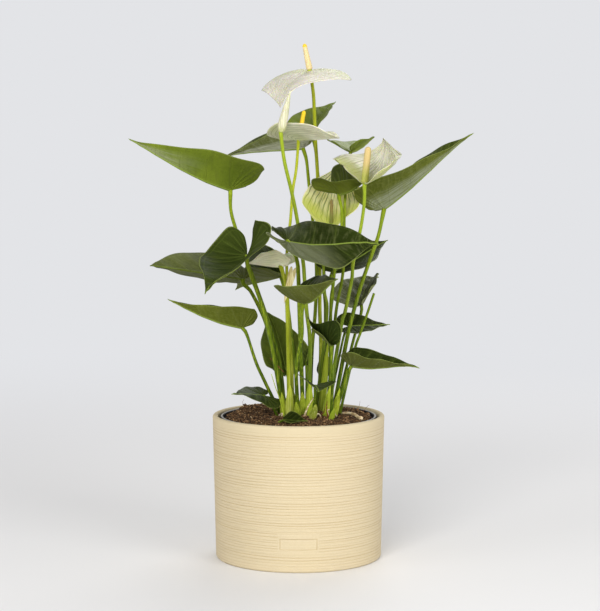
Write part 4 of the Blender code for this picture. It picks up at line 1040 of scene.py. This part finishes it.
# Sheaths at the foot of the stems
# each sheath: stem it wraps, height, half turn in degrees, width added, facing in degrees, lean outward
sheathLooks = (("bloom_5", 30, 105, 1.3, -75, 1.2), ("leaf_07", 24, 95, 1.0, -60, 0.8),
    ("leaf_12", 17, 100, 1.1, -110, 1.4), ("leaf_10", 24, 105, 1.0, -90, 1.0),
    ("bud", 34, 100, 1.6, -90, 0.6), ("leaf_21", 17, 110, 1.5, -70, 2.4),
    ("bloom_3", 30, 105, 1.7, -100, 1.2), ("leaf_15", 13, 95, 1.0, -60, 1.6),
    ("leaf_16", 22, 100, 1.2, -120, 1.0), ("leaf_05", 27, 95, 1.1, -60, 0.9),
    ("bloom_2", 26, 100, 1.2, -80, 0.8), ("leaf_01", 20, 95, 1.0, -110, 0.8),
    ("leaf_11", 66, 100, 1.5, -90, 0.4))


def makeSheath(name, stem, high, halfTurn, wide, facing, lean, finish):
    # a strip of cylinder round the stem's foot: radius = stem + gap + flare, narrowing to a point
    line, radii, _ = stemLine({**leafShapes, **bloomShapes, "bud": budLook}[stem])
    order = np.argsort(line[:, 2])
    rise, across = np.linspace(0, 1, 30)[:, None], np.linspace(-1, 1, 17)
    z = soilHeight(*line[-1, :2]) - 2 + rise * high
    x, y = (np.interp(z, line[order, 2], line[order, k]) for k in (0, 1))
    spread = np.radians(halfTurn) * (1 - 0.95 * rise ** 1.5) * across
    swell = np.sin(np.pi * held(rise * 0.8 + 0.15)) ** 1.5
    reach = (radii[-1] + 0.45 + wide * swell) * (1 + 0.06 * np.cos(3 * spread)) + lean * rise ** 2
    grid = around(reach, np.radians(facing) + spread, z) + joined(x, y, 0.0)
    ends = 0.3 * np.prod(np.broadcast_arrays(*thinning(rise, across, 12, 0.14)), axis=0)
    points, faces, _, _ = closedSheet(grid, ends, ends)
    newPiece(name, points, faces, "stem_green", finishes=[finish], weld=weldGap)


sheathFade = (0.12, 0.16)
sheathGreen = stalkFinish("sheathGreen", (0.35, 0.43, 0.03), (0.22, 0.29, 0.02), (0.56, 0.6, 0.09),
                          sheathFade)
sheathPale = stalkFinish("sheathPale", (0.4, 0.45, 0.04), (0.22, 0.27, 0.03), (0.66, 0.66, 0.24),
                         sheathFade)
for index, sheathLook in enumerate(sheathLooks):
    makeSheath(f"footSheath_{index}", *sheathLook, sheathPale if index in (0, 5) else sheathGreen)
print("sheaths made:", len(sheathLooks))

# Old roots, scraps and threads between the feet: points, radius at each end
paleScraps = (
    (((4, -10, 122), (9, -10, 134), (13, -10, 140)), (1.0, 0.35)),
    (((-12, -12, 124), (-9, -14, 126.5), (-7, -13, 124)), (0.8, 0.5)),
    (((-17, -9, 125), (-14, -12, 127), (-15, -14, 124)), (0.7, 0.4)),
    (((14, -18, 124), (17, -17, 127.5), (20, -19, 125)), (0.9, 0.5)),
    (((28, -18, 125), (30, -15, 128.5), (33, -16, 125)), (1.0, 0.6)),
    (((26, -14, 125), (25, -15, 130), (28, -14, 131)), (0.8, 0.4)))
brownScraps = (
    (((25.6, -15, 124), (24.4, -15.5, 131), (24.8, -15, 138.5)), (0.8, 0.25)),
    (((6, -5, 130), (10, -5, 136), (14, -4, 141)), (0.7, 0.25)),
    (((18, -16, 125), (22, -17, 129), (23, -16, 134)), (0.6, 0.2)),
    (((-25, -10, 175.5), (-19.5, -10, 170), (-13, -10, 163)), (0.25, 0.3)),
    (((50, 30, 123), (54, 34, 127), (55, 38, 131)), (0.16, 0.1)),
    (((57, 22, 123), (60, 24, 127), (63, 27, 129)), (0.16, 0.1)),
    (((-46, 36, 124), (-50, 38, 129), (-49, 41, 132)), (0.16, 0.1)))
greenScraps = ((((-23.5, -12, 161.5), (-20, -12, 150), (-16, -12, 139), (-12, -12, 122)), (0.3, 0.55)),)
paleBark = barkFinish("paleScrap", (0.42, 0.31, 0.15), (0.8, 0.7, 0.48))
brownBark = barkFinish("brownScrap", (0.09, 0.025, 0.01), (0.26, 0.1, 0.04))
for name, scraps, slot, finish in (("paleScraps", paleScraps, "potting_soil", paleBark),
                                   ("brownScraps", brownScraps, "potting_soil", brownBark),
                                   ("greenScraps", greenScraps, "stem_green", sheathGreen)):
    tubes = []
    for points, ends in scraps:
        line = curveThrough(points, 6)
        tubes.append(tubeSurface(line, np.linspace(*ends, len(line)), 8, side=(0.3, 1.0, 0.2)))
    newPiece(name, *merged(tubes), slot, finishes=[finish])
print("scraps made")

# Floor, light and camera; places in metres
stageLook = dict(floor=(0.8, 0.79, 0.78), reach=30000.0, world=(0.96, 0.97, 1.0), worldStrength=0.42,
    seenStrength=0.8, fade=(0.25, 1.6), aim=(0, 0, 0.22))
cameraLook = dict(place=(0.0013, -1.6, 0.36), pitch=5.0, sensor=36.0, focalPixels=1846.0, width=600)
lightLooks = (("key", (-0.6, -2.0, 1.25), 35.0), ("fill", (1.4, -1.5, 0.55), 24.0),
    ("side", (-1.7, -0.9, 0.6), 7.0), ("back", (0.4, 1.2, 1.3), 9.0))


def makeStage(look):
    # a large flat floor, an even studio light all round and four square lamps turned to the plant
    corners = [(x * look["reach"], y * look["reach"], 0) for x, y in ((-1, -1), (1, -1), (1, 1), (-1, 1))]
    floor = placed("floor", newMesh("floor", corners, [(0, 1, 2, 3)]))
    # the floor fades into the studio's own light between two distances, so that no edge shows
    paper = Finish("palePaper", 0.6, 0.5)
    away = paper.node("VectorMath", paper.place, operation="LENGTH").outputs["Value"]
    fade = paper.ramp(away, *look["fade"])
    paper.paint(look["floor"], (fade, (0.0, 0.0, 0.0)))
    paper.put("Specular IOR Level", paper.ramp(fade, 0.0, 1.0, 0.3, 0.0))
    paper.put("Emission Color", look["world"])
    paper.put("Emission Strength", paper.times(fade, look["seenStrength"]))
    floor.data.materials.append(paper.material)
    world = bpy.data.worlds.new("studio")
    world.use_nodes = True
    sky = world.node_tree.nodes["Background"]
    sky.inputs["Color"].default_value = (*look["world"], 1)
    sight = world.node_tree.nodes.new("ShaderNodeLightPath")
    level = world.node_tree.nodes.new("ShaderNodeMapRange")
    level.inputs["To Min"].default_value = look["worldStrength"]
    level.inputs["To Max"].default_value = look["seenStrength"]
    world.node_tree.links.new(sight.outputs["Is Camera Ray"], level.inputs["Value"])
    world.node_tree.links.new(level.outputs["Result"], sky.inputs["Strength"])
    bpy.context.scene.world = world
    for name, place, power in lightLooks:
        lamp = bpy.data.lights.new(name, "AREA")
        lamp.size = 1.0
        lamp.energy = power
        placed(name, lamp, place, (Vector(look["aim"]) - Vector(place)).to_track_quat("-Z", "Y").to_euler())


def makeCamera(look):
    # focal length = sensor width * focal length in pixels / picture width
    camera = bpy.data.cameras.new("camera")
    camera.sensor_fit = "HORIZONTAL"
    camera.sensor_width = look["sensor"]
    camera.lens = look["sensor"] * look["focalPixels"] / look["width"]
    camera.clip_end = 100
    turn = (np.radians(90 - look["pitch"]), 0, 0)
    bpy.context.scene.camera = placed("camera", camera, look["place"], turn)


makeStage(stageLook)
makeCamera(cameraLook)
bpy.context.scene.view_settings.view_transform = "Standard"
